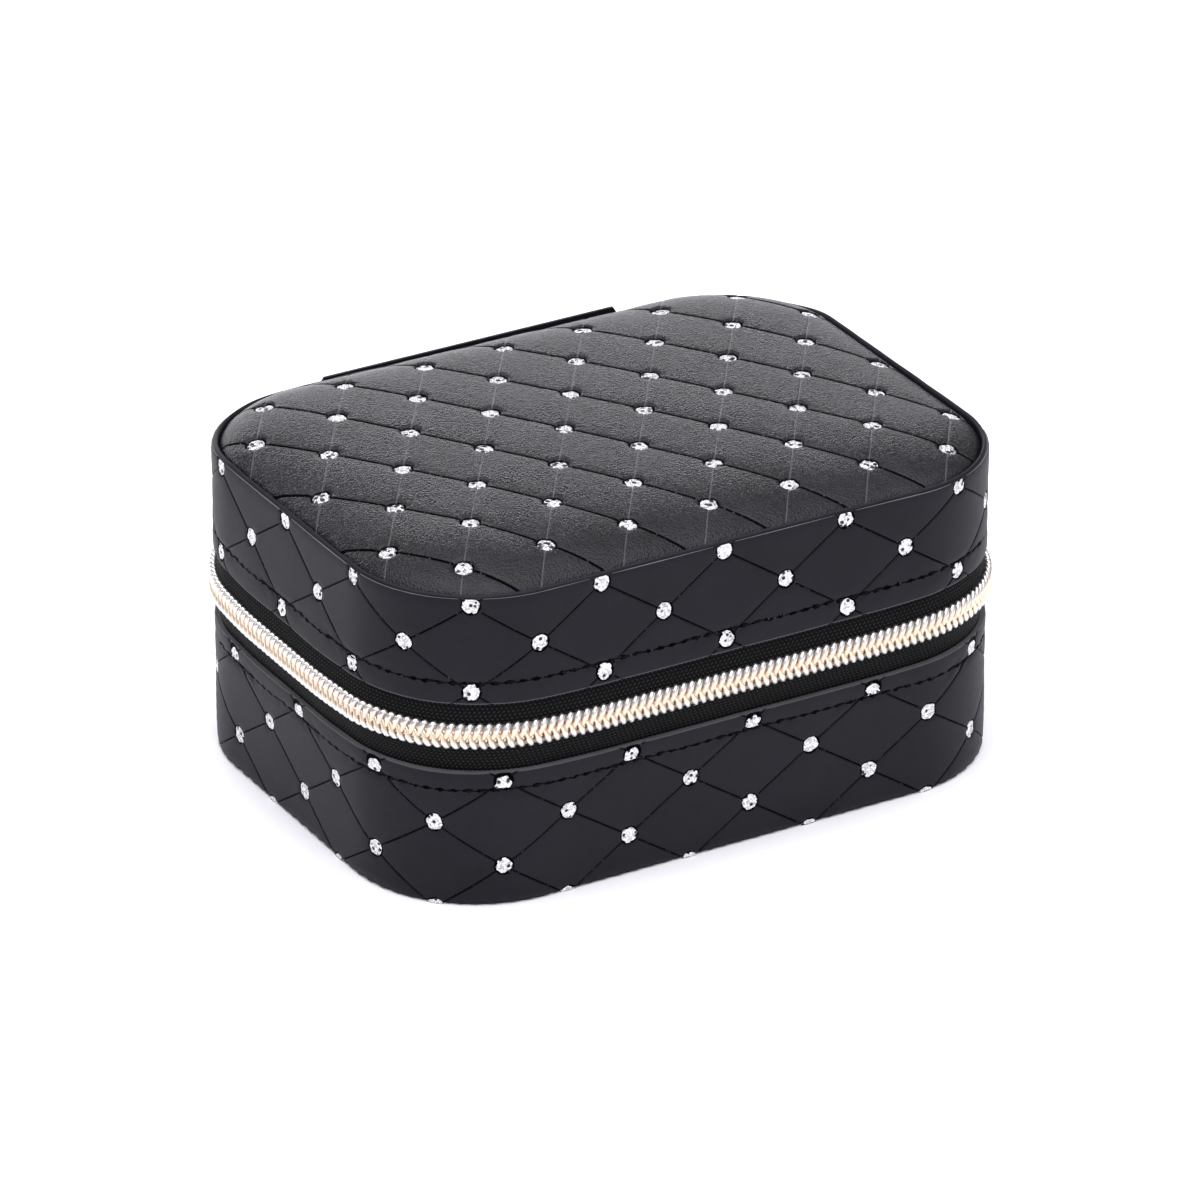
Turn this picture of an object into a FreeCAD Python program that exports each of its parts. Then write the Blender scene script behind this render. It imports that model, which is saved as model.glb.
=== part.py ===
import FreeCAD, Part
import math
import os
import Sketcher

# Zip-round jewellery case: a padded lid and a deep base, both board shells
# covered with embossed leather, joined at the back by a leather hinge panel
# and closed by a coil zip that runs round the other three sides.
#
# Frame: +X along the length (to the right), +Y to the back, +Z up.  The origin
# is the middle of the underside.  "Offset" means a distance outwards from the
# case's outline, the face of the leather walls; negative is inwards.

DIMENSIONS = [
    # alias, value in mm, meaning
    ("case_length", 160, "outline of the leather walls along X"),
    ("case_width", 120.4, "outline of the leather walls along Y"),
    ("corner_radius", 31.4, "outline corner radius"),
    ("leather", 1.2, "leather thickness"),
    ("wall_foam", 0.6, "foam behind the embossed wall leather"),
    ("board", 2.4, "greyboard thickness"),
    ("lining", 0.8, "velvet lining thickness on the walls"),
    ("flat_lining", 1.0, "velvet lining thickness on floor and ceiling"),
    ("edge_round", 1.0, "rounding of the base's lower edge"),
    ("base_edge", 33.4, "height of the base leather's cut edge"),
    ("lid_edge", 50.4, "height of the lid leather's cut edge"),
    ("seam_height", 76.7, "height of the seam round the lid's top"),
    ("seam_inset", 1.6, "seam inwards from the outline"),
    ("welt_width", 0.9, "width of the raised lip at the top seam"),
    ("welt_reach", 0.4, "the lip reaches this far below and above the seam"),
    ("crown_rise", 3.6, "padded top above the seam"),
    ("crown_width", 24, "width of the rounded shoulder of the top"),
    ("split_height", 42.67, "middle of the zip and height of the hinge axis"),
    ("split_gap", 0.6, "gap between lid and base boards, closed"),
    ("coil_gap", 0.2, "gap between the two coil rows, closed"),
    ("coil_height", 3.25, "height of one coil row"),
    ("coil_proud", 1.45, "coil's outer face, offset"),
    ("coil_depth", 1.95, "thickness of the coil"),
    ("tape", 0.6, "zip tape thickness"),
    ("tape_tuck", 5.4, "tape sewn behind the leather's edge"),
    ("tape_bend", 0.6, "tape leaves the leather's edge, beyond it"),
    ("stitch_base", 28.9, "height of the base stitch line"),
    ("stitch_lid", 55.5, "height of the lid stitch line"),
    ("stitch_size", 0.6, "height of the stitch line"),
    ("stitch_proud", 0.3, "stitch line stands proud of the leather"),
    ("stitch_end", 1, "stitching stops this far from the hinge panel"),
    ("zip_end", 42, "coil ends at this X on the back"),
    ("tape_end", 33, "tape ends at this X on the back"),
    ("panel_width", 78, "hinge panel along X"),
    ("panel_low", 4, "lower edge of the hinge panel"),
    ("panel_high", 76, "upper edge of the hinge panel"),
    ("panel_leather", 1.5, "hinge panel thickness"),
    ("divider", 3, "divider thickness"),
    ("divider_place", 27, "middle of the two long dividers, from X = 0"),
    ("divider_height", 26, "divider height above the floor"),
    ("fit_gap", 0.2, "gap at the ends of loose inner parts"),
    ("roll_count", 8, "ring rolls"),
    ("roll_pitch", 13.2, "ring roll spacing along Y"),
    ("roll_diameter", 12.6, "ring roll diameter"),
    ("bed_height", 8, "height of the block under the ring rolls"),
    ("mirror_length", 112, "mirror glass along X"),
    ("mirror_width", 74, "mirror glass along Y"),
    ("mirror_radius", 10, "mirror corner radius"),
    ("mirror_glass", 1.6, "mirror glass thickness"),
    ("frame_width", 6, "mirror frame width"),
    ("frame_depth", 2.2, "mirror frame thickness"),
    ("slider_place", 23, "slider's middle along Y, closed"),
    ("slider_gap", 0.3, "clearance between slider and coil"),
    ("slider_plate", 1.2, "slider front plate thickness"),
    ("slider_long", 13, "slider front plate along its travel"),
    ("slider_wide", 10.6, "slider front plate across its travel"),
    ("slider_shoulder", 0.65, "where the plate starts to narrow, from its middle"),
    ("slider_nose", 6.4, "width of the front plate's narrow end"),
    ("slider_lip", 1.2, "thickness of the lip round the lower coil"),
    ("bail_bar", 0.8, "radius of the bail's bar"),
    ("bail_post", 1.6, "bail post along the travel"),
    ("bail_span", 8.4, "bail over its posts"),
    ("eye_gap", 0.1, "clearance between bail bar and pull eye"),
    ("eye_wall", 0.8, "wall of the pull's eye"),
    ("pull_neck", 7, "length of the pull's narrow neck"),
    ("cut_reach", 10, "depth of the cut that opens a band at the back, each way"),
    ("eye_long", 4, "pull eye along the bail bar"),
    ("pull_long", 25, "pull from its pivot to its tip"),
    ("pull_wide", 6.4, "pull plate width"),
    ("pull_thick", 1.4, "pull plate thickness"),
    ("pull_round", 1.1, "corner rounding of the pull plate"),
    ("stop_size", 3, "zip end stop along the coil"),
]

HALF_LENGTH = "sheet.case_length / 2"
HALF_WIDTH = "sheet.case_width / 2"
FOAM_OUT = "(-sheet.leather)"
BOARD_OUT = "(-sheet.leather - sheet.wall_foam)"
LINING_OUT = "(-sheet.leather - sheet.wall_foam - sheet.board)"
INSIDE = "(-sheet.leather - sheet.wall_foam - sheet.board - sheet.lining)"
BASE_RIM = "(sheet.split_height - sheet.split_gap / 2)"
LID_RIM = "(sheet.split_height + sheet.split_gap / 2)"
FLOOR_BOARD_TOP = "(sheet.leather + sheet.board)"
FLOOR = "(sheet.leather + sheet.board + sheet.flat_lining)"
TOP_BOARD_HIGH = "(sheet.seam_height - 2 * sheet.leather)"
TOP_BOARD_LOW = "(sheet.seam_height - 2 * sheet.leather - sheet.board)"
CEILING = "(sheet.seam_height - 2 * sheet.leather - sheet.board - sheet.flat_lining)"
CROWN_POWER = 2.2
CROWN_STEPS = 5
QUARTER = math.pi / 2
TINY = 0.001
CLOSE = 0.01
MOST_SHELL_SHARE = 0.6

doc = FreeCAD.newDocument("jewellery_case")
sub_parts = []


def make_sheet():
    """The spreadsheet of driving dimensions."""
    made = doc.addObject("Spreadsheet::Sheet", "sheet")
    for row, (alias, number, meaning) in enumerate(DIMENSIONS, start=1):
        made.set(f"A{row}", meaning)
        made.set(f"B{row}", str(number))
        made.setAlias(f"B{row}", alias)
    doc.recompute()
    return made


sheet = make_sheet()


def value(expression):
    """The number that an expression on the sheet gives."""
    return float(sheet.evalExpression(expression))


def new_body(name):
    body = doc.addObject("PartDesign::Body", name)
    body.Label = name
    sub_parts.append(body)
    return body


def new_sketch(body, role, away="0"):
    """A sketch on one of the body's origin planes, moved along its normal."""
    plane = next(f for f in body.Origin.OriginFeatures if f.Role == role)
    sketch = body.newObject("Sketcher::SketchObject", body.Name + "_sketch")
    sketch.AttachmentSupport = [(plane, "")]
    sketch.MapMode = "FlatFace"
    sketch.setExpression("AttachmentOffset.Base.z", away)
    return sketch


def fix_point(sketch, geometry, point, across, up):
    """Dimension one point of the sketch from its origin, by two expressions."""
    for kind, expression in (("DistanceX", across), ("DistanceY", up)):
        number = value(expression)
        ends = (-1, 1, geometry, point)
        if number < 0:
            ends = (geometry, point, -1, 1)
            expression = f"-({expression})"
        index = sketch.addConstraint(Sketcher.Constraint(kind, *ends, abs(number)))
        sketch.setExpression(f"Constraints[{index}]", expression)


def add_polygon(sketch, corners):
    """A closed outline through corners given as (across, up) expressions."""
    places = [FreeCAD.Vector(value(a), value(u), 0) for a, u in corners]
    first = sketch.GeometryCount
    count = len(corners)
    for i in range(count):
        sketch.addGeometry(Part.LineSegment(places[i], places[(i + 1) % count]))
    for i in range(count):
        after = first + (i + 1) % count
        sketch.addConstraint(Sketcher.Constraint("Coincident", first + i, 2, after, 1))
    for i, (across, up) in enumerate(corners):
        fix_point(sketch, first + i, 1, across, up)


def add_rounded_outline(sketch, half_x, half_y, radius):
    """A closed rectangle with round corners, centred on the sketch's origin."""
    x = value(half_x)
    y = value(half_y)
    r = value(radius)
    corners = [(x, y), (-x, y), (-x, -y), (x, -y)]
    turns = [(1, 0), (0, 1), (-1, 0), (0, -1), (1, 0)]
    first = sketch.GeometryCount
    for i, (corner_x, corner_y) in enumerate(corners):
        before_x, before_y = corners[i - 1]
        centre = FreeCAD.Vector(corner_x - r * (corner_x / x), corner_y - r * (corner_y / y), 0)
        last = FreeCAD.Vector(before_x - r * (before_x / x), before_y - r * (before_y / y), 0)
        out = FreeCAD.Vector(*turns[i], 0) * r
        circle = Part.Circle(centre, FreeCAD.Vector(0, 0, 1), r)
        sketch.addGeometry(Part.LineSegment(last + out, centre + out))
        sketch.addGeometry(Part.ArcOfCircle(circle, i * QUARTER, (i + 1) * QUARTER))
    for i in range(8):
        after = first + (i + 1) % 8
        sketch.addConstraint(Sketcher.Constraint("Tangent", first + i, 2, after, 1))
    for side, kind in enumerate(("Vertical", "Horizontal", "Vertical", "Horizontal")):
        sketch.addConstraint(Sketcher.Constraint(kind, first + 2 * side))
    for corner in (3, 5, 7):
        sketch.addConstraint(Sketcher.Constraint("Equal", first + 1, first + corner))
    index = sketch.addConstraint(Sketcher.Constraint("Radius", first + 1, r))
    sketch.setExpression(f"Constraints[{index}]", radius)
    sizes = [
        ("DistanceX", (-1, 1, first, 1), half_x),
        ("DistanceY", (-1, 1, first + 2, 1), half_y),
        ("DistanceX", (first + 4, 1, -1, 1), half_x),
        ("DistanceY", (first + 6, 1, -1, 1), half_y),
    ]
    for kind, ends, expression in sizes:
        index = sketch.addConstraint(Sketcher.Constraint(kind, *ends, value(expression)))
        sketch.setExpression(f"Constraints[{index}]", expression)


def add_case_outline(sketch, offset):
    """The case's rounded outline, moved outwards by an offset."""
    half_x = f"{HALF_LENGTH} + {offset}"
    half_y = f"{HALF_WIDTH} + {offset}"
    add_rounded_outline(sketch, half_x, half_y, f"sheet.corner_radius + {offset}")


def pad(body, sketch, length, both_ways=False):
    feature = body.newObject("PartDesign::Pad", body.Name + "_pad")
    feature.Profile = sketch
    feature.setExpression("Length", length)
    feature.Midplane = both_ways
    body.Tip = feature
    return feature


def make_plate(name, offset, low, high):
    """A flat panel with the case's outline."""
    body = new_body(name)
    sketch = new_sketch(body, "XY_Plane", low)
    add_case_outline(sketch, offset)
    pad(body, sketch, f"{high} - {low}")
    return body


def make_ring(name, outer, inner, low, high):
    """A wall round the case between two offsets."""
    body = new_body(name)
    sketch = new_sketch(body, "XY_Plane", low)
    add_case_outline(sketch, outer)
    add_case_outline(sketch, inner)
    pad(body, sketch, f"{high} - {low}")
    return body


def cut_back(body, half_width):
    """Take the middle of the back out of a ring, where the hinge panel is."""
    doc.recompute()
    whole = body.Shape.Volume
    sketch = new_sketch(body, "XY_Plane", "0")
    beyond = f"{HALF_WIDTH} + sheet.cut_reach"
    inside = f"{HALF_WIDTH} - sheet.cut_reach"
    corners = [
        (f"-({half_width})", inside),
        (half_width, inside),
        (half_width, beyond),
        (f"-({half_width})", beyond),
    ]
    add_polygon(sketch, corners)
    pocket = body.newObject("PartDesign::Pocket", body.Name + "_pocket")
    pocket.Profile = sketch
    pocket.Type = "ThroughAll"
    pocket.Midplane = True
    body.Tip = pocket
    doc.recompute()
    assert body.Shape.Volume < whole - 1.0, body.Label


def make_band(name, end, profile):
    """A strip that runs from the hinge panel's one side, round the front, to its
    other side.  The profile's corners are (offset, height) expressions."""
    body = new_body(name)
    path = new_sketch(body, "XY_Plane", "0")
    x = value(HALF_LENGTH)
    y = value(HALF_WIDTH)
    r = value("sheet.corner_radius")
    start = value(end)
    up = FreeCAD.Vector(0, 0, 1)
    centres = [(x - r, y - r), (x - r, r - y), (r - x, r - y), (r - x, y - r)]
    tops = [(start, y), (x, y - r), (x - r, -y), (-x, r - y), (r - x, y)]
    ends = [(x - r, y), (x, r - y), (r - x, -y), (-x, y - r), (-start, y)]
    for i in range(5):
        line = Part.LineSegment(FreeCAD.Vector(*tops[i], 0), FreeCAD.Vector(*ends[i], 0))
        path.addGeometry(line)
        if i < 4:
            circle = Part.Circle(FreeCAD.Vector(*centres[i], 0), up, r)
            path.addGeometry(Part.ArcOfCircle(circle, -i * QUARTER, (1 - i) * QUARTER))
    for i in range(0, 8, 2):
        path.addConstraint(Sketcher.Constraint("Tangent", i, 2, i + 1, 2))
        path.addConstraint(Sketcher.Constraint("Tangent", i + 1, 1, i + 2, 1))
    for i, kind in enumerate(("Horizontal", "Vertical", "Horizontal", "Vertical", "Horizontal")):
        path.addConstraint(Sketcher.Constraint(kind, 2 * i))
    for i in (3, 5, 7):
        path.addConstraint(Sketcher.Constraint("Equal", 1, i))
    index = path.addConstraint(Sketcher.Constraint("Radius", 1, r))
    path.setExpression(f"Constraints[{index}]", "sheet.corner_radius")
    fix_point(path, 0, 1, end, HALF_WIDTH)
    sizes = [
        ("DistanceX", (8, 2, -1, 1), end),
        ("DistanceX", (-1, 1, 2, 1), HALF_LENGTH),
        ("DistanceY", (4, 1, -1, 1), HALF_WIDTH),
        ("DistanceX", (6, 1, -1, 1), HALF_LENGTH),
    ]
    for kind, points, expression in sizes:
        index = path.addConstraint(Sketcher.Constraint(kind, *points, value(expression)))
        path.setExpression(f"Constraints[{index}]", expression)
    section = new_sketch(body, "YZ_Plane", end)
    add_polygon(section, [(f"{HALF_WIDTH} + {offset}", height) for offset, height in profile])
    doc.recompute()
    pipe = body.newObject("PartDesign::AdditivePipe", body.Name + "_pipe")
    pipe.Profile = section
    pipe.Spine = (path, [f"Edge{i}" for i in range(1, 10)])
    body.Tip = pipe
    return body


def make_box(name, low, size):
    """A plain block, from the expressions of its lowest corner and its sizes."""
    box = doc.addObject("Part::Box", name)
    for side, expression in zip(("Length", "Width", "Height"), size):
        box.setExpression(side, expression)
    for axis, expression in zip("xyz", low):
        box.setExpression(f"Placement.Base.{axis}", expression)
    box.Label = name
    return box


def add_box(name, low, size):
    sub_parts.append(make_box(name, low, size))


def group(name, pieces):
    """Equal loose pieces as one sub-part of separate solids."""
    compound = doc.addObject("Part::Compound", name)
    compound.Links = pieces
    compound.Label = name
    sub_parts.append(compound)


def make_base_shell():
    """Leather, foam, boards and velvet of the base, from outside to inside."""
    leather = make_ring("base_wall_leather", "0", FOAM_OUT, "0", "sheet.base_edge")
    doc.recompute()
    round_lower_edge(leather)
    make_plate("base_bottom_leather", FOAM_OUT, "0", "sheet.leather")
    tape_low = "(sheet.base_edge - sheet.tape_tuck)"
    make_ring("base_wall_foam", FOAM_OUT, BOARD_OUT, "sheet.leather", tape_low)
    make_plate("base_bottom_board", BOARD_OUT, "sheet.leather", FLOOR_BOARD_TOP)
    make_ring("base_wall_board", BOARD_OUT, LINING_OUT, FLOOR_BOARD_TOP, BASE_RIM)
    make_ring("base_wall_lining", LINING_OUT, INSIDE, FLOOR_BOARD_TOP, BASE_RIM)
    make_plate("base_floor_lining", INSIDE, FLOOR_BOARD_TOP, FLOOR)


def round_lower_edge(body):
    """Round the outer lower edge, where the leather turns under."""
    shape = body.Shape
    names = []
    for i, edge in enumerate(shape.Edges, start=1):
        box = edge.BoundBox
        on_table = box.ZMax < TINY
        reach = max(box.XMax, -box.XMin) - value(HALF_LENGTH), max(box.YMax, -box.YMin) - value(HALF_WIDTH)
        if on_table and max(reach) > -CLOSE:
            names.append(f"Edge{i}")
    wall = body.Tip
    fillet = body.newObject("PartDesign::Fillet", body.Name + "_fillet")
    fillet.Base = (wall, names)
    fillet.setExpression("Radius", "sheet.edge_round")
    body.Tip = fillet


def make_lid_shell():
    """Leather, foam, boards and velvet of the lid, from outside to inside."""
    tape_high = "(sheet.lid_edge + sheet.tape_tuck)"
    wall_top = "(sheet.seam_height - sheet.welt_reach)"
    make_ring("lid_wall_leather", "0", FOAM_OUT, "sheet.lid_edge", wall_top)
    make_ring("lid_wall_foam", FOAM_OUT, BOARD_OUT, tape_high, TOP_BOARD_LOW)
    make_ring("lid_wall_board", BOARD_OUT, LINING_OUT, LID_RIM, TOP_BOARD_LOW)
    make_plate("lid_top_board", BOARD_OUT, TOP_BOARD_LOW, TOP_BOARD_HIGH)
    make_ring("lid_wall_lining", LINING_OUT, INSIDE, LID_RIM, TOP_BOARD_LOW)
    make_plate("lid_ceiling_lining", INSIDE, CEILING, TOP_BOARD_LOW)
    welt_out = "(-sheet.seam_inset + sheet.welt_width)"
    welt_top = "(sheet.seam_height + sheet.welt_reach)"
    make_ring("lid_top_welt", welt_out, "(-sheet.seam_inset)", wall_top, welt_top)


def crown_sections(inset, drop):
    """(offset, height) of each outline that the padded top is lofted through."""
    sections = [(f"(-sheet.seam_inset - {inset})", TOP_BOARD_HIGH)]
    for step in range(CROWN_STEPS + 1):
        t = step / CROWN_STEPS
        share = 1 - (1 - t) ** CROWN_POWER
        offset = f"(-sheet.seam_inset - {inset} - sheet.crown_width * {t})"
        height = f"(sheet.seam_height + sheet.crown_rise * {share:.4f} - {drop})"
        sections.append((offset, height))
    return sections


def loft(body, kind, sections):
    sketches = []
    for offset, height in sections:
        sketch = new_sketch(body, "XY_Plane", height)
        add_case_outline(sketch, offset)
        sketches.append(sketch)
    doc.recompute()
    feature = body.newObject(f"PartDesign::{kind}", body.Name + "_loft")
    feature.Profile = sketches[0]
    feature.Sections = sketches[1:]
    feature.Ruled = True
    body.Tip = feature
    doc.recompute()


def make_padded_top():
    """The crowned leather panel and the foam that fills it."""
    leather = new_body("lid_top_leather")
    loft(leather, "AdditiveLoft", crown_sections("0", "0"))
    whole = leather.Shape.Volume
    loft(leather, "SubtractiveLoft", crown_sections("sheet.leather", "sheet.leather"))
    assert leather.Shape.Volume < MOST_SHELL_SHARE * whole, leather.Label
    foam = new_body("lid_top_foam")
    loft(foam, "AdditiveLoft", crown_sections("sheet.leather", "sheet.leather"))


def make_zip():
    """Tape, coil and end stops of the base's row and of the lid's row."""
    bent = "(-sheet.coil_depth + sheet.coil_proud)"
    rows = [
        ("base", "sheet.base_edge", "-", BASE_RIM),
        ("lid", "sheet.lid_edge", "+", LID_RIM),
    ]
    for name, edge, down, rim in rows:
        up = "+" if down == "-" else "-"
        hidden = f"({edge} {down} sheet.tape_tuck)"
        leaves = f"({edge} {up} sheet.tape_bend)"
        coil_near = f"(sheet.split_height {down} sheet.coil_gap / 2)"
        coil_far = f"(sheet.split_height {down} sheet.coil_gap / 2 {down} sheet.coil_height)"
        outer = [(FOAM_OUT, hidden), (FOAM_OUT, leaves), (bent, coil_far), (bent, rim)]
        inner = [(f"({offset} - sheet.tape)", height) for offset, height in reversed(outer)]
        make_band(f"{name}_zip_tape", "sheet.tape_end", outer + inner)
        low = coil_far if name == "base" else coil_near
        high = coil_near if name == "base" else coil_far
        coil = make_ring(f"{name}_zip_coil", "sheet.coil_proud", bent, low, high)
        cut_back(coil, "sheet.zip_end")
        stops = []
        for side, place in (("left", "-sheet.zip_end"), ("right", "sheet.zip_end - sheet.stop_size")):
            start = (place, f"{HALF_WIDTH} + {bent}", low)
            size = ("sheet.stop_size", "sheet.coil_depth", "sheet.coil_height")
            stops.append(make_box(f"{name}_stop_{side}", start, size))
        group(f"{name}_zip_stops", stops)


def make_stitching():
    """The stitch lines that hold the zip tapes, as plain raised bands."""
    for name, height in (("base", "sheet.stitch_base"), ("lid", "sheet.stitch_lid")):
        low = f"({height} - sheet.stitch_size / 2)"
        high = f"({height} + sheet.stitch_size / 2)"
        band = make_ring(f"{name}_stitching", "sheet.stitch_proud", "0", low, high)
        cut_back(band, "sheet.panel_width / 2 + sheet.stitch_end")


def make_hinge_panel():
    """The leather hinge panel's two leaves, either side of its bend line."""
    leaves = [
        ("hinge_panel_lower", "sheet.panel_low", BASE_RIM),
        ("hinge_panel_upper", LID_RIM, "sheet.panel_high"),
    ]
    for name, low, high in leaves:
        start = ("-sheet.panel_width / 2", HALF_WIDTH, low)
        add_box(name, start, ("sheet.panel_width", "sheet.panel_leather", f"{high} - {low}"))


def make_dividers():
    """Two long dividers and one short cross divider of velvet-covered board."""
    length = f"2 * ({HALF_WIDTH} + {INSIDE} - sheet.fit_gap)"
    front = f"-({HALF_WIDTH} + {INSIDE} - sheet.fit_gap)"
    for name, sign in (("divider_left", "-"), ("divider_right", "")):
        start = (f"{sign}sheet.divider_place - sheet.divider / 2", front, FLOOR)
        add_box(name, start, ("sheet.divider", length, "sheet.divider_height"))
    start_x = "sheet.divider_place + sheet.divider / 2"
    reach = f"{HALF_LENGTH} + {INSIDE} - sheet.fit_gap - ({start_x})"
    start = (start_x, "-sheet.divider / 2", FLOOR)
    add_box("divider_cross", start, (reach, "sheet.divider", "sheet.divider_height"))


def make_ring_rolls():
    """The row of rolls that hold rings between them, on their foam block."""
    between = "2 * sheet.divider_place - sheet.divider - 2 * sheet.fit_gap"
    start_x = f"-({between}) / 2"
    deep = f"2 * ({HALF_WIDTH} + {INSIDE} - sheet.fit_gap)"
    add_box("ring_roll_bed", (start_x, f"-({deep}) / 2", FLOOR), (between, deep, "sheet.bed_height"))
    rolls = []
    for i in range(int(value("sheet.roll_count"))):
        roll = doc.addObject("Part::Cylinder", f"roll_{i + 1}")
        roll.setExpression("Radius", "sheet.roll_diameter / 2")
        roll.setExpression("Height", between)
        roll.Placement.Rotation = FreeCAD.Rotation(FreeCAD.Vector(0, 1, 0), 90)
        roll.setExpression("Placement.Base.x", start_x)
        roll.setExpression("Placement.Base.y", f"({i} - (sheet.roll_count - 1) / 2) * sheet.roll_pitch")
        roll.setExpression("Placement.Base.z", f"{FLOOR} + sheet.bed_height + sheet.roll_diameter / 2")
        rolls.append(roll)
    group("ring_rolls", rolls)


def make_mirror():
    """The mirror glass and the leather frame round it, under the lid's ceiling."""
    half_x = "sheet.mirror_length / 2"
    half_y = "sheet.mirror_width / 2"
    glass = new_body("mirror_glass")
    sketch = new_sketch(glass, "XY_Plane", f"{CEILING} - sheet.mirror_glass")
    add_rounded_outline(sketch, half_x, half_y, "sheet.mirror_radius")
    pad(glass, sketch, "sheet.mirror_glass")
    frame = new_body("mirror_frame")
    sketch = new_sketch(frame, "XY_Plane", f"{CEILING} - sheet.frame_depth")
    wide = "sheet.frame_width"
    add_rounded_outline(sketch, f"{half_x} + {wide}", f"{half_y} + {wide}", f"sheet.mirror_radius + {wide}")
    add_rounded_outline(sketch, half_x, half_y, "sheet.mirror_radius")
    pad(frame, sketch, "sheet.frame_depth")


PLATE_IN = f"({HALF_LENGTH} + sheet.coil_proud + sheet.slider_gap)"
PLATE_OUT = f"({PLATE_IN} + sheet.slider_plate)"
EYE_OUT = "(sheet.bail_bar + sheet.eye_gap + sheet.eye_wall)"
PIVOT_X = f"({PLATE_OUT} + sheet.slider_gap + {EYE_OUT})"


def make_slider():
    """The zip slider on the right-hand side: shield-shaped front plate, lip round
    the lower coil row, and a bail whose bar carries the pull."""
    body = new_body("slider_body")
    sketch = new_sketch(body, "YZ_Plane", PLATE_IN)
    place = "sheet.slider_place"
    wide = "sheet.slider_wide / 2"
    nose = "sheet.slider_nose / 2"
    half = "sheet.slider_long / 2"
    middle = "sheet.split_height"
    corners = [
        (f"{place} - {half}", f"{middle} - {nose}"),
        (f"{place} + sheet.slider_shoulder", f"{middle} - {wide}"),
        (f"{place} + {half}", f"{middle} - {wide}"),
        (f"{place} + {half}", f"{middle} + {wide}"),
        (f"{place} + sheet.slider_shoulder", f"{middle} + {wide}"),
        (f"{place} - {half}", f"{middle} + {nose}"),
    ]
    add_polygon(sketch, corners)
    pad(body, sketch, "sheet.slider_plate")
    lip = new_sketch(body, "YZ_Plane", f"{PLATE_IN} - sheet.coil_depth + sheet.slider_gap")
    top = f"{middle} - sheet.coil_gap / 2 - sheet.coil_height - sheet.slider_gap"
    corners = [
        (f"{place} + sheet.slider_shoulder", f"{middle} - {wide}"),
        (f"{place} + {half}", f"{middle} - {wide}"),
        (f"{place} + {half}", top),
        (f"{place} + sheet.slider_shoulder", top),
    ]
    add_polygon(lip, corners)
    pad(body, lip, "sheet.coil_depth - sheet.slider_gap + sheet.slider_plate / 2")
    for sign in ("-", "+"):
        post = new_sketch(body, "YZ_Plane", f"{PLATE_OUT} - sheet.slider_plate / 2")
        inner = f"{place} {sign} (sheet.bail_span / 2 - sheet.bail_post)"
        outer = f"{place} {sign} sheet.bail_span / 2"
        near, far = (outer, inner) if sign == "-" else (inner, outer)
        low = f"{middle} - sheet.bail_bar"
        high = f"{middle} + sheet.bail_bar"
        add_polygon(post, [(near, low), (far, low), (far, high), (near, high)])
        pad(body, post, f"{PIVOT_X} + sheet.bail_bar - {PLATE_OUT} + sheet.slider_plate / 2")
    bar = new_sketch(body, "XZ_Plane", f"-{place} - sheet.bail_span / 2 + sheet.bail_post / 2")
    centre = FreeCAD.Vector(value(PIVOT_X), value(middle), 0)
    bar.addGeometry(Part.Circle(centre, FreeCAD.Vector(0, 0, 1), value("sheet.bail_bar")))
    index = bar.addConstraint(Sketcher.Constraint("Radius", 0, value("sheet.bail_bar")))
    bar.setExpression(f"Constraints[{index}]", "sheet.bail_bar")
    fix_point(bar, 0, 3, PIVOT_X, middle)
    pad(body, bar, "sheet.bail_span - sheet.bail_post")


def make_pull():
    """The pull that hangs on the slider's bail: a rolled eye and a tapered plate."""
    eye = doc.addObject("Part::Cylinder", "pull_eye")
    eye.setExpression("Radius", EYE_OUT)
    hole = doc.addObject("Part::Cylinder", "pull_eye_hole")
    hole.setExpression("Radius", "sheet.bail_bar + sheet.eye_gap")
    for cylinder, longer in ((eye, "0"), (hole, "sheet.eye_wall")):
        cylinder.setExpression("Height", f"sheet.eye_long + 2 * {longer}")
        cylinder.Placement.Rotation = FreeCAD.Rotation(FreeCAD.Vector(1, 0, 0), -90)
        cylinder.setExpression("Placement.Base.x", PIVOT_X)
        cylinder.setExpression("Placement.Base.y", f"sheet.slider_place - sheet.eye_long / 2 - {longer}")
        cylinder.setExpression("Placement.Base.z", "sheet.split_height")
    neck_low = "(sheet.split_height - sheet.pull_neck)"
    tip = "(sheet.split_height - sheet.pull_long)"
    thick = "sheet.pull_thick"
    neck = make_box(
        "pull_neck",
        (f"{PIVOT_X} - {thick} / 2", "sheet.slider_place - sheet.eye_long / 2", neck_low),
        (thick, "sheet.eye_long", f"sheet.split_height - {neck_low}"),
    )
    plate = make_box(
        "pull_plate",
        (f"{PIVOT_X} - {thick} / 2", "sheet.slider_place - sheet.pull_wide / 2", tip),
        (thick, "sheet.pull_wide", f"{neck_low} - {tip}"),
    )
    solid = doc.addObject("Part::MultiFuse", "pull_solid")
    solid.Shapes = [eye, neck, plate]
    doc.recompute()
    rounded = doc.addObject("Part::Fillet", "pull_rounded")
    rounded.Base = solid
    corner_edges = []
    for i, edge in enumerate(solid.Shape.Edges, start=1):
        box = edge.BoundBox
        along_x = max(box.YLength, box.ZLength) < TINY < box.XLength
        at_side = abs(abs(box.YMin - value("sheet.slider_place")) - value("sheet.pull_wide / 2")) < CLOSE
        if along_x and at_side:
            corner_edges.append((i, value("sheet.pull_round"), value("sheet.pull_round")))
    rounded.Edges = corner_edges
    pull = doc.addObject("Part::Cut", "slider_pull")
    pull.Base = rounded
    pull.Tool = hole
    pull.Label = "slider_pull"
    sub_parts.append(pull)


make_base_shell()
make_lid_shell()
make_padded_top()
make_zip()
make_stitching()
make_hinge_panel()
make_dividers()
make_ring_rolls()
make_mirror()
make_slider()
make_pull()
doc.recompute()

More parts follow.
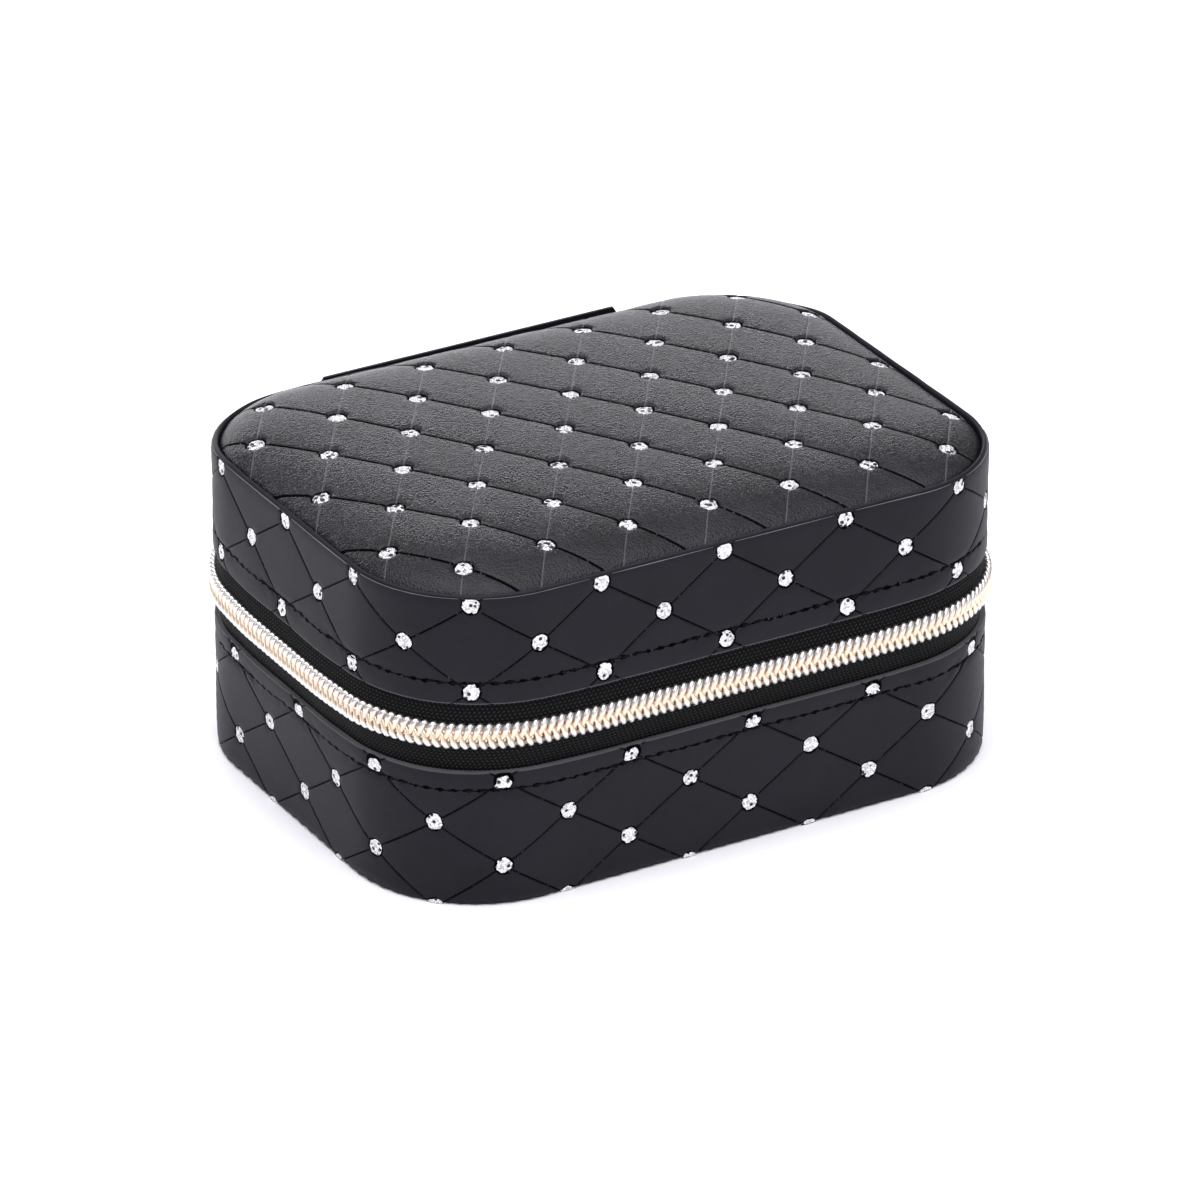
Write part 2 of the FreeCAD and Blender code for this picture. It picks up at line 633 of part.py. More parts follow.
failed = [o.Name for o in doc.Objects if "Invalid" in o.State or "Error" in o.State]
assert not failed, failed
for part in sub_parts:
    assert not part.Shape.isNull() and part.Shape.isValid(), part.Label

os.makedirs("parts", exist_ok=True)
for part in sub_parts:
    part.Shape.exportStep(f"parts/{part.Label}.step")
    box = part.Shape.BoundBox
    corners = " ".join(f"{c:.2f}" for c in (box.XMin, box.YMin, box.ZMin, box.XMax, box.YMax, box.ZMax))
    print(f"{part.Label:22s} {len(part.Shape.Solids)} solids {part.Shape.Volume:10.1f} mm3  {corners}")
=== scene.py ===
import math
import random

import bmesh
import bpy
import numpy as np
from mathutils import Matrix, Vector


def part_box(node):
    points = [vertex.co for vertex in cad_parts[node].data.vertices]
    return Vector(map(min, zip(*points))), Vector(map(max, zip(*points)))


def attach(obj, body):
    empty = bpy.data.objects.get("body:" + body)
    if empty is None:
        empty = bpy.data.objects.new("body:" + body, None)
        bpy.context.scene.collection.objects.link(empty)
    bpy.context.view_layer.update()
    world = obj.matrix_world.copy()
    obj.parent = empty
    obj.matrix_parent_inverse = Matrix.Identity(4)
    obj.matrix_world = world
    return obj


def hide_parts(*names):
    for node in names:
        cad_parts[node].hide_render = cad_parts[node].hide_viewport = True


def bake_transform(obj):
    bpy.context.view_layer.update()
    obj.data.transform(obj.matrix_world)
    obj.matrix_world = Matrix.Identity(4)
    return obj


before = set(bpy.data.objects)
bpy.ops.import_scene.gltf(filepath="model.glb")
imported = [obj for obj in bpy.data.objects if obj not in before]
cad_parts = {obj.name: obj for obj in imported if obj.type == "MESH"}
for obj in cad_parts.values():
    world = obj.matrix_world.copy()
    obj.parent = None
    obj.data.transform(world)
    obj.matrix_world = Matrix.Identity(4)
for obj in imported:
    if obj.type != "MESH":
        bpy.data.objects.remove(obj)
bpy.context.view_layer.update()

MM = 0.001
rng = random.Random(7)

# ---------------------------------------------------------------- measures, mm


def node_box(node):
    """A CAD node's box at rest, in millimetres."""
    low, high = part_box(node)
    return np.array(low) / MM, np.array(high) / MM


WALL_LOW, WALL_HIGH = node_box("base_wall_leather")
LID_LOW, LID_HIGH = node_box("lid_wall_leather")
TOP_HIGH = node_box("lid_top_leather")[1]
LENGTH = WALL_HIGH[0] - WALL_LOW[0]
WIDTH = WALL_HIGH[1] - WALL_LOW[1]
RADIUS = 31.4
LEATHER = 1.2
BASE_EDGE = WALL_HIGH[2]
LID_EDGE = LID_LOW[2]
WALL_TOP = LID_HIGH[2]
SEAM_INSET = LENGTH / 2 - TOP_HIGH[0]
SEAM_Z = TOP_HIGH[2] - 3.6
STITCH_BASE = 28.9
STITCH_LID = 55.5
STITCH_PITCH = 3.1
SPLIT = 42.67

FRONT = LENGTH - 2 * RADIUS
SIDE = WIDTH - 2 * RADIUS
CORNER = RADIUS * math.pi / 2
ROUND = 2 * FRONT + 2 * SIDE + 4 * CORNER
BACK_S = 1.5 * FRONT + SIDE + 2 * CORNER
SWELL = 1.9
SWELL_REACH = 16.0
SWELL_TALL = 19.0
TINY = 1e-6

# ---------------------------------------------------------------- the outline


def around(s, offset):
    """Points on the case's outline at arc length s from the front's left end,
    moved outwards by offset.  s runs to the right along the front and on."""
    s = np.mod(np.asarray(s, float), ROUND)
    offset = np.broadcast_to(np.asarray(offset, float), s.shape)
    hx = LENGTH / 2 - RADIUS
    hy = WIDTH / 2 - RADIUS
    x = np.zeros_like(s)
    y = np.zeros_like(s)
    runs = [
        (FRONT, (-hx, -hy), -90),
        (SIDE, (hx, -hy), 0),
        (FRONT, (hx, hy), 90),
        (SIDE, (-hx, hy), 180),
    ]
    start = 0.0
    for length, (cx, cy), angle in runs:
        a = math.radians(angle)
        out = np.array([math.cos(a), math.sin(a)])
        along = np.array([-math.sin(a), math.cos(a)])
        on = (s >= start) & (s <= start + length)
        t = s[on] - start
        x[on] = cx + out[0] * (RADIUS + offset[on]) + along[0] * t
        y[on] = cy + out[1] * (RADIUS + offset[on]) + along[1] * t
        start += length
        end = np.array([cx, cy]) + along * length
        on = (s > start) & (s < start + CORNER)
        turn = a + (s[on] - start) / RADIUS
        x[on] = end[0] + (RADIUS + offset[on]) * np.cos(turn)
        y[on] = end[1] + (RADIUS + offset[on]) * np.sin(turn)
        start += CORNER
    return x, y


def smooth(t):
    """An even rise from 0 to 1."""
    return t * t * (3 - 2 * t)


def bulge(s, z):
    """How far the soft walls swell out beside the zip, along the front and the left."""
    m = np.mod(np.asarray(s, float) + CORNER / 2, ROUND) - CORNER / 2
    left = ROUND - CORNER - SIDE
    swell = 0.0
    for start, length in ((0.0, FRONT), (left, SIDE)):
        enter = np.clip((m - start + SWELL_REACH) / (2 * SWELL_REACH), 0, 1)
        leave = np.clip((start + length + SWELL_REACH - m) / (2 * SWELL_REACH), 0, 1)
        swell = swell + SWELL * smooth(enter * leave)
    return swell * np.exp(-((z - SPLIT) / SWELL_TALL) ** 2)


def on_wall(s, z, offset):
    """Points at height z on the outside of the walls, moved outwards by offset."""
    x, y = around(s, offset + bulge(s, z))
    return np.stack([x, y, np.broadcast_to(z, x.shape)], axis=-1)


def steps_along(s0, s1, straight=3.0, curved=1.2):
    """Arc lengths from s0 to s1, closer together round the corners."""
    edges = np.cumsum([FRONT, CORNER, SIDE, CORNER] * 2)
    points = [s0]
    s = s0
    while s < s1 - TINY:
        m = (s + TINY) % ROUND
        k = min(int(np.searchsorted(edges, m)), len(edges) - 1)
        step = curved if k % 2 else straight
        s = min(s + step, s + max(edges[k] - m, 1e-3), s1)
        points.append(s)
    return np.array(points)


def inset_distance(x, y, offset=0.0):
    """How far inside the outline moved by offset a point is, and which way is out."""
    r = RADIUS + offset
    qx = np.abs(x) - (LENGTH / 2 + offset - r)
    qy = np.abs(y) - (WIDTH / 2 + offset - r)
    ox = np.maximum(qx, 0)
    oy = np.maximum(qy, 0)
    reach = np.hypot(ox, oy)
    inside = reach < TINY
    far_x = inside & (qx >= qy)
    far_y = inside & (qx < qy)
    length = np.where(inside, 1, reach)
    nx = np.where(far_x, 1, np.where(far_y, 0, ox / length)) * np.where(np.asarray(x) < 0, -1, 1)
    ny = np.where(far_y, 1, np.where(far_x, 0, oy / length)) * np.where(np.asarray(y) < 0, -1, 1)
    return r - np.where(inside, np.maximum(qx, qy), reach), nx, ny


# ---------------------------------------------------------------- mesh helpers


def new_object(name, verts, faces, material, smooth=True, sharp=40, indices=None):
    """A mesh object from points in millimetres."""
    mesh = bpy.data.meshes.new(name)
    mesh.from_pydata([tuple(v) for v in np.asarray(verts, float) * MM], [], [tuple(f) for f in faces])
    materials = material if isinstance(material, (list, tuple)) else [material]
    for m in materials:
        mesh.materials.append(m)
    if indices is not None:
        mesh.polygons.foreach_set("material_index", np.asarray(indices, dtype=np.int32))
    mesh.polygons.foreach_set("use_smooth", [smooth] * len(mesh.polygons))
    if smooth and sharp:
        mesh.set_sharp_from_angle(angle=math.radians(sharp))
    mesh.validate()
    mesh.update()
    made = bpy.data.objects.new(name, mesh)
    bpy.context.scene.collection.objects.link(made)
    return made


def place(piece, body, slot, *nodes):
    """Puts a piece on its body and hides the CAD nodes it stands in for; slot is not used."""
    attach(piece, body)
    if nodes:
        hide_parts(*nodes)
    return piece


def add_uv(piece, uv):
    """A UV per vertex, in millimetres, that weaves and grains read."""
    layer = piece.data.uv_layers.new(name="flat")
    loops = np.zeros(len(piece.data.loops), dtype=np.int32)
    piece.data.loops.foreach_get("vertex_index", loops)
    layer.data.foreach_set("uv", np.asarray(uv, np.float32)[loops].ravel())


def swept(
    name, profile, s0, s1, material, closed=False, straight=3.0, curved=1.2, sharp=40, wave=None, swell=True
):
    """A profile of (offset, z) corners, carried round the outline from s0 to s1.
    wave makes it uneven; swell lets it follow the walls' bulge."""
    profile = np.asarray(profile, float)
    s = steps_along(s0, s1, straight, curved)
    if closed:
        s = s[:-1]
    count = len(profile)
    rings = len(s)
    ss = np.repeat(s, count)
    oo = np.tile(profile[:, 0], rings)
    zz = np.tile(profile[:, 1], rings)
    if wave is not None:
        oo, zz = wave(ss, oo, zz)
    verts = on_wall(ss, zz, oo if swell else oo - bulge(ss, zz))
    faces = []
    for i in range(rings if closed else rings - 1):
        a = i * count
        b = ((i + 1) % rings) * count
        for j in range(count):
            k = (j + 1) % count
            faces.append((a + j, b + j, b + k, a + k))
    if not closed:
        faces.append(tuple(range(count)))
        faces.append(tuple(reversed(range((rings - 1) * count, rings * count))))
    made = new_object(name, verts, faces, material, sharp=sharp)
    along = np.cumsum(np.r_[0, np.hypot(*np.diff(profile, axis=0).T)])
    add_uv(made, np.stack([ss, np.tile(along, rings)], axis=-1))
    return made


def cut_fine(profile, step, closed=False):
    """A profile with its tall edges cut into pieces of about step."""
    ends = profile[1:] + (profile[:1] if closed else [])
    fine = []
    for (o0, z0), (o1, z1) in zip(profile, ends):
        steps = max(1, int(abs(z1 - z0) / step))
        fine += [(o0 + (o1 - o0) * k / steps, z0 + (z1 - z0) * k / steps) for k in range(steps)]
    return fine if closed else fine + [profile[-1]]


def loft(rings, count):
    """Faces of a closed skin over rings of count points each."""
    faces = []
    for a in range(0, (rings - 1) * count, count):
        b = a + count
        for i in range(count):
            j = (i + 1) % count
            faces.append((a + i, a + j, b + j, b + i))
    faces.append(tuple(reversed(range(count))))
    faces.append(tuple(range((rings - 1) * count, rings * count)))
    return faces


def tube(path, radius, sides):
    """Points and faces of a closed tube along a path of 3-D points."""
    path = np.asarray(path, float)
    radii = np.broadcast_to(radius, (len(path),))
    tangent = np.gradient(path, axis=0)
    tangent /= np.linalg.norm(tangent, axis=1)[:, None]
    side = np.cross(tangent[0], (0.3, 0.5, 0.81))
    side /= np.linalg.norm(side)
    verts = []
    for p, t, r in zip(path, tangent, radii):
        side = side - t * side.dot(t)
        side /= np.linalg.norm(side)
        up = np.cross(t, side)
        for k in range(sides):
            a = 2 * math.pi * k / sides
            verts.append(p + r * (math.cos(a) * side + math.sin(a) * up))
    return np.array(verts), loft(len(path), sides)


def outward(made):
    """Turns a closed piece's faces outwards."""
    bm = bmesh.new()
    bm.from_mesh(made.data)
    bmesh.ops.recalc_face_normals(bm, faces=bm.faces[:])
    bm.to_mesh(made.data)
    bm.free()
    return made


def joined(parts):
    """Several (verts, faces) as one."""
    verts = []
    faces = []
    count = 0
    for v, f in parts:
        verts.append(v)
        faces.extend(tuple(i + count for i in face) for face in f)
        count += len(v)
    return np.concatenate(verts), faces


# ---------------------------------------------------------------- quilted skin


class Lattice:
    """The rhombic quilting: crossings at origin + a * one + b * two, where one and
    two run along the grooves of rhombs this wide and this high."""

    def __init__(self, origin, wide, high):
        one = (wide / 2, high / 2)
        two = (wide / 2, -high / 2)
        self.origin = np.array(origin, float)
        self.basis = np.array([one, two], float).T
        self.inverse = np.linalg.inv(self.basis)
        area = abs(np.linalg.det(self.basis))
        self.gaps = (area / np.linalg.norm(two), area / np.linalg.norm(one))

    def at(self, a, b):
        return self.origin + self.basis @ np.array([a, b], float)

    def groove_distances(self, u, v):
        """Distance to the nearest groove line of each direction."""
        a, b = self.inverse @ np.stack([u - self.origin[0], v - self.origin[1]])
        return np.abs(a - np.round(a)) * self.gaps[0], np.abs(b - np.round(b)) * self.gaps[1]

    def node_distance(self, u, v):
        p = np.stack([u - self.origin[0], v - self.origin[1]])
        nearest = self.basis @ np.round(self.inverse @ p)
        return np.hypot(*(p - nearest))

    def span(self, low, high):
        """The least and the most whole steps that cover a box."""
        corners = [(u, v) for u in (low[0], high[0]) for v in (low[1], high[1])]
        corners = [self.inverse @ (np.array(corner) - self.origin) for corner in corners]
        least = np.floor(np.min(corners, axis=0)).astype(int) - 1
        return least, np.ceil(np.max(corners, axis=0)).astype(int) + 1

    def nodes(self, low, high, margin=0.0):
        """The crossings inside a box, or within margin of it."""
        least, most = self.span(low, high)
        found = []
        for i in range(least[0], most[0] + 1):
            for j in range(least[1], most[1] + 1):
                p = self.at(i, j)
                if all(low[k] - margin <= p[k] <= high[k] + margin for k in (0, 1)):
                    found.append(tuple(p))
        return found

    def patch(self, low, high, fractions, clips):
        """A flat mesh with its rows along the grooves, cut to a convex outline.
        Returns its points, faces and directed boundary edges."""
        bm = bmesh.new()
        made = {}
        count = len(fractions)
        least, most = self.span(low, high)

        def vertex(ia, ib):
            if (ia, ib) not in made:
                a = ia // count + fractions[ia % count]
                b = ib // count + fractions[ib % count]
                made[ia, ib] = bm.verts.new((*self.at(a, b), 0))
            return made[ia, ib]

        for i in range(least[0], most[0]):
            for j in range(least[1], most[1]):
                cell = np.array([self.at(i + p, j + q) for p in (0, 1) for q in (0, 1)])
                if (cell.max(0) < low).any() or (cell.min(0) > high).any():
                    continue
                for a in range(i * count, (i + 1) * count):
                    for b in range(j * count, (j + 1) * count):
                        bm.faces.new([vertex(a, b), vertex(a + 1, b), vertex(a + 1, b + 1), vertex(a, b + 1)])
        for point, normal in clips:
            everything = bm.verts[:] + bm.edges[:] + bm.faces[:]
            bmesh.ops.bisect_plane(
                bm, geom=everything, dist=1e-4, plane_co=(*point, 0), plane_no=(*normal, 0), clear_outer=True
            )
        bmesh.ops.remove_doubles(bm, verts=bm.verts[:], dist=0.004)
        bmesh.ops.recalc_face_normals(bm, faces=bm.faces[:])
        bm.faces.ensure_lookup_table()
        if bm.faces[0].normal.z < 0:
            bmesh.ops.reverse_faces(bm, faces=bm.faces[:])
        bm.verts.index_update()
        points = np.array([v.co[:2] for v in bm.verts])
        faces = [tuple(v.index for v in f.verts) for f in bm.faces]
        edges = []
        for edge in bm.edges:
            if len(edge.link_faces) == 1:
                loop = edge.link_loops[0]
                edges.append((loop.vert.index, loop.link_loop_next.vert.index))
        bm.free()
        return points, faces, edges


def rounded(x, width):
    """A smooth hump of height 1."""
    return np.exp(-(x / width) ** 2)


def quilt_height(lattice, u, v, puff, soft, depths, narrow, dot, recess):
    """Height of the embossed leather over its plain surface: pillows that rise by
    puff, two families of grooves of these depths, and a dot's seat at each crossing."""
    da, db = lattice.groove_distances(u, v)
    share = depths[1] / depths[0]
    pillow = (1 - np.exp(-da / soft)) * (1 - share * np.exp(-db / soft))
    groove = np.maximum(depths[0] * rounded(da, narrow), depths[1] * rounded(db, narrow))
    d = lattice.node_distance(u, v)
    seat = 1 / (1 + np.exp((d - dot) / SEAT_EDGE))
    height = puff * pillow - groove
    return height * (1 - seat) - recess * seat


def gentle(u, v, scale=1.0):
    """Small slow unevenness, the same each time."""
    return scale * (
        0.5 * np.sin(u / 9.1 + 1.3) * np.sin(v / 7.7 + 0.4)
        + 0.3 * np.sin(u / 4.3 + v / 5.9 + 2.1)
        + 0.2 * np.sin(u / 2.9 - v / 3.7 + 0.7)
    )


WALL_DOT = 1.98
TOP_DOT = 2.0
DOT_SEAT = 0.32
DOT_SUNK = 0.20
DOT_SIDES = 18
BEHIND_PANEL = 40
CLEAR = 0.15
SEAT_EDGE = 0.12
WALL_QUILT = (0.20, 2.6, (0.30, 0.30), 0.20)
TOP_QUILT = (0.30, 2.8, (0.42, 0.10), 0.24)
ROW_STEP = 21.31
COLUMN_STEP = 31.29
TOP_STEP_X = 20.8
TOP_STEP_Y = 30.95
lid_lattice = Lattice((-16.83, 74.7), COLUMN_STEP, ROW_STEP)
base_lattice = Lattice((-25.44, 20.5), COLUMN_STEP, ROW_STEP)
top_lattice = Lattice((22.3, 46.9), TOP_STEP_X, TOP_STEP_Y)

WALL_ROWS = [0, 0.008, 0.017, 0.028, 0.045, 0.075, 0.11, 0.15, 0.24, 0.36, 0.5]
WALL_ROWS = WALL_ROWS + [1 - f for f in reversed(WALL_ROWS[1:-1])]
TOP_ROWS = [0, 0.007, 0.016, 0.026, 0.038, 0.055, 0.08, 0.11, 0.145, 0.2, 0.28, 0.38, 0.5]
TOP_ROWS = TOP_ROWS + [1 - f for f in reversed(TOP_ROWS[1:-1])]

# ---------------------------------------------------------------- materials


def material(name, colour, roughness, metallic=0.0, sheen=0.0, specular=0.5):
    m = bpy.data.materials.new(name)
    m.use_nodes = True
    sockets = m.node_tree.nodes["Principled BSDF"].inputs
    sockets["Base Color"].default_value = (*colour, 1)
    sockets["Roughness"].default_value = roughness
    sockets["Metallic"].default_value = metallic
    sockets["Sheen Weight"].default_value = sheen
    sockets["Specular IOR Level"].default_value = specular
    return m


class Nodes:
    """A short way to wire a material's nodes.  Lengths are in millimetres."""

    def __init__(self, m):
        self.tree = m.node_tree
        self.shader = self.tree.nodes["Principled BSDF"]

    def put(self, socket, setting):
        """Joins a socket to another, or gives it a plain value."""
        if isinstance(setting, bpy.types.NodeSocket):
            self.tree.links.new(setting, socket)
        else:
            socket.default_value = setting

    def add(self, kind, **settings):
        """A new node: capitalised settings are its sockets, the rest its options."""
        node = self.tree.nodes.new(kind)
        for key, setting in settings.items():
            if key[0].isupper():
                self.put(node.inputs[key.replace("_", " ")], setting)
            else:
                setattr(node, key, setting)
        return node

    def place(self):
        """Where a point of the piece is."""
        point = self.add("ShaderNodeTexCoord").outputs["Object"]
        return self.add("ShaderNodeMapping", Vector=point, Scale=(1 / MM,) * 3).outputs["Vector"]

    def flat(self):
        """Where a point is on the piece's flat map."""
        return self.add("ShaderNodeTexCoord").outputs["UV"]

    def split(self, vector):
        return self.add("ShaderNodeSeparateXYZ", Vector=vector).outputs

    def noise(self, where, scale, detail=3.0, rough=0.5):
        node = self.add("ShaderNodeTexNoise", Vector=where, Scale=scale, Detail=detail, Roughness=rough)
        return node.outputs["Fac"]

    def cells(self, where, scale, feature="F1", out="Distance"):
        return self.add("ShaderNodeTexVoronoi", feature=feature, Vector=where, Scale=scale).outputs[out]

    def ramp(self, fac, low, high, first, last):
        node = self.add("ShaderNodeValToRGB", Fac=fac)
        for element, position, colour in zip(node.color_ramp.elements, (low, high), (first, last)):
            element.position = position
            element.color = (*colour, 1)
        return node.outputs["Color"]

    def math(self, kind, a, b=0.0):
        node = self.add("ShaderNodeMath", operation=kind)
        self.put(node.inputs[0], a)
        self.put(node.inputs[1], b)
        return node.outputs[0]

    def times(self, first, *others):
        for other in others:
            first = self.math("MULTIPLY", first, other)
        return first

    def plus(self, first, second):
        return self.math("ADD", first, second)

    def minus(self, first, second):
        return self.math("SUBTRACT", first, second)

    def away(self, value, middle):
        return self.math("ABSOLUTE", self.minus(value, middle))

    def wave(self, value, length):
        return self.math("SINE", self.times(value, 2 * math.pi / length))

    def blend(self, first, second, share):
        """A share of the first and the rest of the second."""
        return self.plus(self.times(first, share), self.times(second, 1 - share))

    def spread(self, fac, low, high):
        return self.add("ShaderNodeMapRange", Value=fac, To_Min=low, To_Max=high).outputs["Result"]

    def near(self, distance, core, edge):
        """1 up to core away, falling smoothly to 0 at edge."""
        node = self.add("ShaderNodeMapRange", interpolation_type="SMOOTHSTEP", Value=distance)
        node.inputs["From Min"].default_value = edge
        node.inputs["From Max"].default_value = core
        return node.outputs["Result"]

    def mix(self, share, first, second):
        node = self.add("ShaderNodeMix", data_type="RGBA")
        for socket, setting in zip((0, 6, 7), (share, first, second)):
            self.put(node.inputs[socket], (*setting, 1) if isinstance(setting, tuple) else setting)
        return node.outputs[2]

    def steps(self, flat, lattice, family):
        """How many of one family's grooves a point is away from the origin."""
        row = lattice.inverse[family]
        dot = self.add("ShaderNodeVectorMath", operation="DOT_PRODUCT")
        self.put(dot.inputs[0], flat)
        self.put(dot.inputs[1], (*row, 0))
        return self.minus(dot.outputs["Value"], float(row @ lattice.origin))

    def groove(self, flat, lattice, family, core, edge):
        """1 on one family of the quilting's grooves, 0 away from them."""
        off = self.math("PINGPONG", self.steps(flat, lattice, family), 0.5)
        return self.near(self.times(off, lattice.gaps[family]), core, edge)

    def seat(self, flat, lattice, core, edge):
        """1 where a dot is pressed in, at each crossing of the grooves."""
        steps = [self.steps(flat, lattice, family) for family in (0, 1)]
        off = [self.minus(x, self.math("ROUND", x)) for x in steps]
        parts = [self.plus(*(self.times(x, float(f)) for x, f in zip(off, axis))) for axis in lattice.basis]
        squares = [self.math("POWER", part, 2.0) for part in parts]
        return self.near(self.math("SQRT", self.plus(*squares)), core, edge)

    def bump(self, height, distance, strength=1.0, after=None):
        node = self.add("ShaderNodeBump", Height=height, Distance=distance * MM, Strength=strength)
        if after is not None:
            self.put(node.inputs["Normal"], after)
        return node.outputs["Normal"]

    def finish(self, colour, roughness=None, normal=None):
        for name, setting in (("Base Color", colour), ("Roughness", roughness), ("Normal", normal)):
            if setting is not None:
                self.put(self.shader.inputs[name], setting)


def leather_material(name, dark, light, roughness, pebble, depth, specular=0.2):
    """Coated leather: a pebble grain of the given size, with fine creases.
    Returns the material, its nodes and its colour, for a pattern to go on."""
    m = material(name, dark, roughness, specular=specular)
    n = Nodes(m)
    where = n.place()
    warp = n.noise(where, 0.35, 2.0)
    fine = n.noise(where, 5.0, 4.0, 0.6)
    cloud = n.blend(n.noise(where, 0.06), warp, 0.6)
    grain = n.cells(where, 1 / pebble, "SMOOTH_F1")
    creases = n.cells(where, 1 / (2.6 * pebble), "DISTANCE_TO_EDGE")
    colour = n.ramp(n.blend(cloud, fine, 0.5), 0.35, 0.65, dark, light)
    normal = n.bump(grain, depth)
    normal = n.bump(n.math("MINIMUM", creases, 0.12), 2 * depth, 0.5, normal)
    normal = n.bump(fine, 0.4 * depth, 0.6, normal)
    n.finish(colour, n.spread(n.blend(fine, warp, 0.5), roughness - 0.08, roughness + 0.1), normal)
    return m, n, colour


def quilted_leather(name, leather, lattice, families, reach, stitch=None, edge=None):
    """Leather with painted shade along the quilting's pressed lines and in the dots' seats, a black stitch
    line that is partly thread and partly painted shade in its groove, painted glints on those dark marks, and
    a paler cut edge that is partly its own tone and partly a painted highlight.  families: (core, edge,
    share, colour) for each groove family; a black colour is painted shade, a grey one a painted highlight."""
    m, n, colour = leather_material(name, *leather)
    flat = n.flat()
    where = n.place()
    broken = n.spread(n.noise(where, 0.25), 0.55, 1.25)
    shade = 0.0
    # Each groove family's colour is painted light: black is painted shade in the groove, grey a painted
    # highlight along it.
    for family, (core, far, share, tone) in enumerate(families):
        line = n.math("MINIMUM", n.times(n.groove(flat, lattice, family, core, far), share, broken), 1.0)
        colour = n.mix(line, colour, tone)
        if tone == BLACK:
            shade = n.math("MAXIMUM", line, shade)
    # Painted shade: a black ring in the recessed seat round each dot.
    pit = n.seat(flat, lattice, reach, reach + 0.2)
    colour = n.mix(pit, colour, BLACK)
    shade = n.math("MAXIMUM", pit, shade)
    along, height, _ = n.split(flat)
    if stitch is not None:
        # The stitch line is painted black: partly the black thread, partly painted shade in the groove it
        # sinks into.
        ragged = n.spread(n.noise(where, 1.1), -0.45, 0.45)
        off = n.math("ABSOLUTE", n.plus(n.minus(height, stitch), ragged))
        seam = n.near(n.minus(off, n.times(n.wave(along, STITCH_PITCH), 0.16)), 0.16, 0.42)
        colour = n.mix(seam, colour, BLACK)
        shade = n.math("MAXIMUM", seam, shade)
    # Painted glints: small light spots over the painted shade of grooves, seats and stitch line.
    painted_glints = n.near(n.cells(where, 0.9), 0.12, 0.3)
    colour = n.mix(n.times(painted_glints, shade, 0.5), colour, (0.09, 0.09, 0.10))
    if edge is not None:
        # A paler line at the cut edge: partly the cut edge's own tone, partly a painted highlight on its
        # rounded edge.
        rim = n.near(n.away(height, edge), 0.12, 0.4)
        colour = n.mix(n.times(rim, 0.8), colour, (0.075, 0.075, 0.08))
    n.put(n.shader.inputs["Specular IOR Level"], n.times(n.minus(1.0, n.times(shade, 0.92)), leather[-1]))
    n.finish(colour)
    return m


def velvet_material(name, dark, light):
    m = material(name, dark, 0.9, sheen=0.6, specular=0.2)
    n = Nodes(m)
    n.put(n.shader.inputs["Sheen Roughness"], 0.4)
    where = n.place()
    pile = n.noise(where, 3.5, 5.0, 0.7)
    nap = n.noise(where, 0.09, 3.0, 0.6)
    colour = n.ramp(n.blend(pile, nap, 0.35), 0.32, 0.68, dark, light)
    n.finish(colour, n.spread(pile, 0.8, 1.0), n.bump(pile, 0.25, 0.7))
    return m


def tape_material():
    """Zip tape: a herringbone weave."""
    m = material("zip_tape_weave", BLACK, 0.8, specular=0.12)
    n = Nodes(m)
    along, across, _ = n.split(n.flat())
    rib = n.wave(n.plus(along, n.math("PINGPONG", across, 1.2)), 1.1)
    yarn = n.times(n.wave(across, 0.8), rib)
    lifted = n.spread(n.plus(n.times(rib, 0.35), n.times(yarn, 0.25)), 0.0, 1.0)
    fuzz = n.noise(n.place(), 4.0)
    height = n.plus(lifted, n.times(fuzz, 0.3))
    colour = n.ramp(height, 0.35, 0.7, BLACK, (0.036, 0.036, 0.038))
    n.finish(colour, n.spread(fuzz, 0.6, 0.9), n.bump(height, 0.3))
    return m


def metal_material(name, colour, second, roughness, tint=None):
    """Plating, clouded between two colours, with a tint over it."""
    m = material(name, colour, roughness, 1.0)
    n = Nodes(m)
    where = n.place()
    cloud = n.noise(where, 0.5)
    fine = n.noise(where, 9.0)
    shade = n.ramp(cloud, 0.35, 0.65, colour, second)
    if tint is not None:
        shade = tint(n, where, cloud, shade)
    n.finish(shade, n.spread(fine, roughness - 0.06, roughness + 0.08), n.bump(fine, 0.01, 0.4))
    return m


def warm_middle(n, where, cloud, colour):
    """The coil is warmer where its heads meet along the middle."""
    near = n.near(n.away(n.split(where)["Z"], SPLIT), 0.6, 2.5)
    return n.mix(n.times(near, n.spread(cloud, 0.5, 1.0)), colour, (0.86, 0.68, 0.50))


def glitter_material(name, bright, gap, pit_scale, pit):
    """Silver glitter: bright grains of uneven tone, dark gaps and small pits."""
    m = material(name, bright, 0.4, 0.1)
    n = Nodes(m)
    where = n.place()
    tone, gloss, tilt = n.split(n.cells(where, 1.7, "F1", "Color"))
    grains = n.ramp(tone, 0.0, 0.5, tuple(0.5 * c for c in bright), bright)
    gaps = n.near(n.cells(where, 1.7, "DISTANCE_TO_EDGE"), 0.02, 0.14)
    colour = n.mix(n.times(gaps, gap), grains, (0.03, 0.03, 0.035))
    pits = n.near(n.cells(where, pit_scale), pit, pit + 0.1)
    n.finish(n.mix(pits, colour, (0.004, 0.004, 0.005)), n.spread(gloss, 0.25, 0.55), n.bump(tilt, 0.2))
    return m


def grained_material(name, dark, light, roughness, texture, low, high, depth, strength, specular=0.5):
    """An even material with one texture, which shades it and roughens it."""
    m = material(name, dark, roughness[0], specular=specular)
    n = Nodes(m)
    grain = texture(n, n.place())
    colour = n.ramp(grain, low, high, dark, light)
    n.finish(colour, n.spread(grain, *roughness), n.bump(grain, depth, strength))
    return m


def mirror_material():
    m = material("mirror_silver", (0.93, 0.94, 0.94), 0.02, 1.0)
    n = Nodes(m)
    haze = n.noise(n.place(), 0.05, 2.0)
    n.finish(n.ramp(haze, 0.3, 0.7, (0.90, 0.92, 0.92), (0.95, 0.96, 0.96)), n.spread(haze, 0.012, 0.03))
    return m


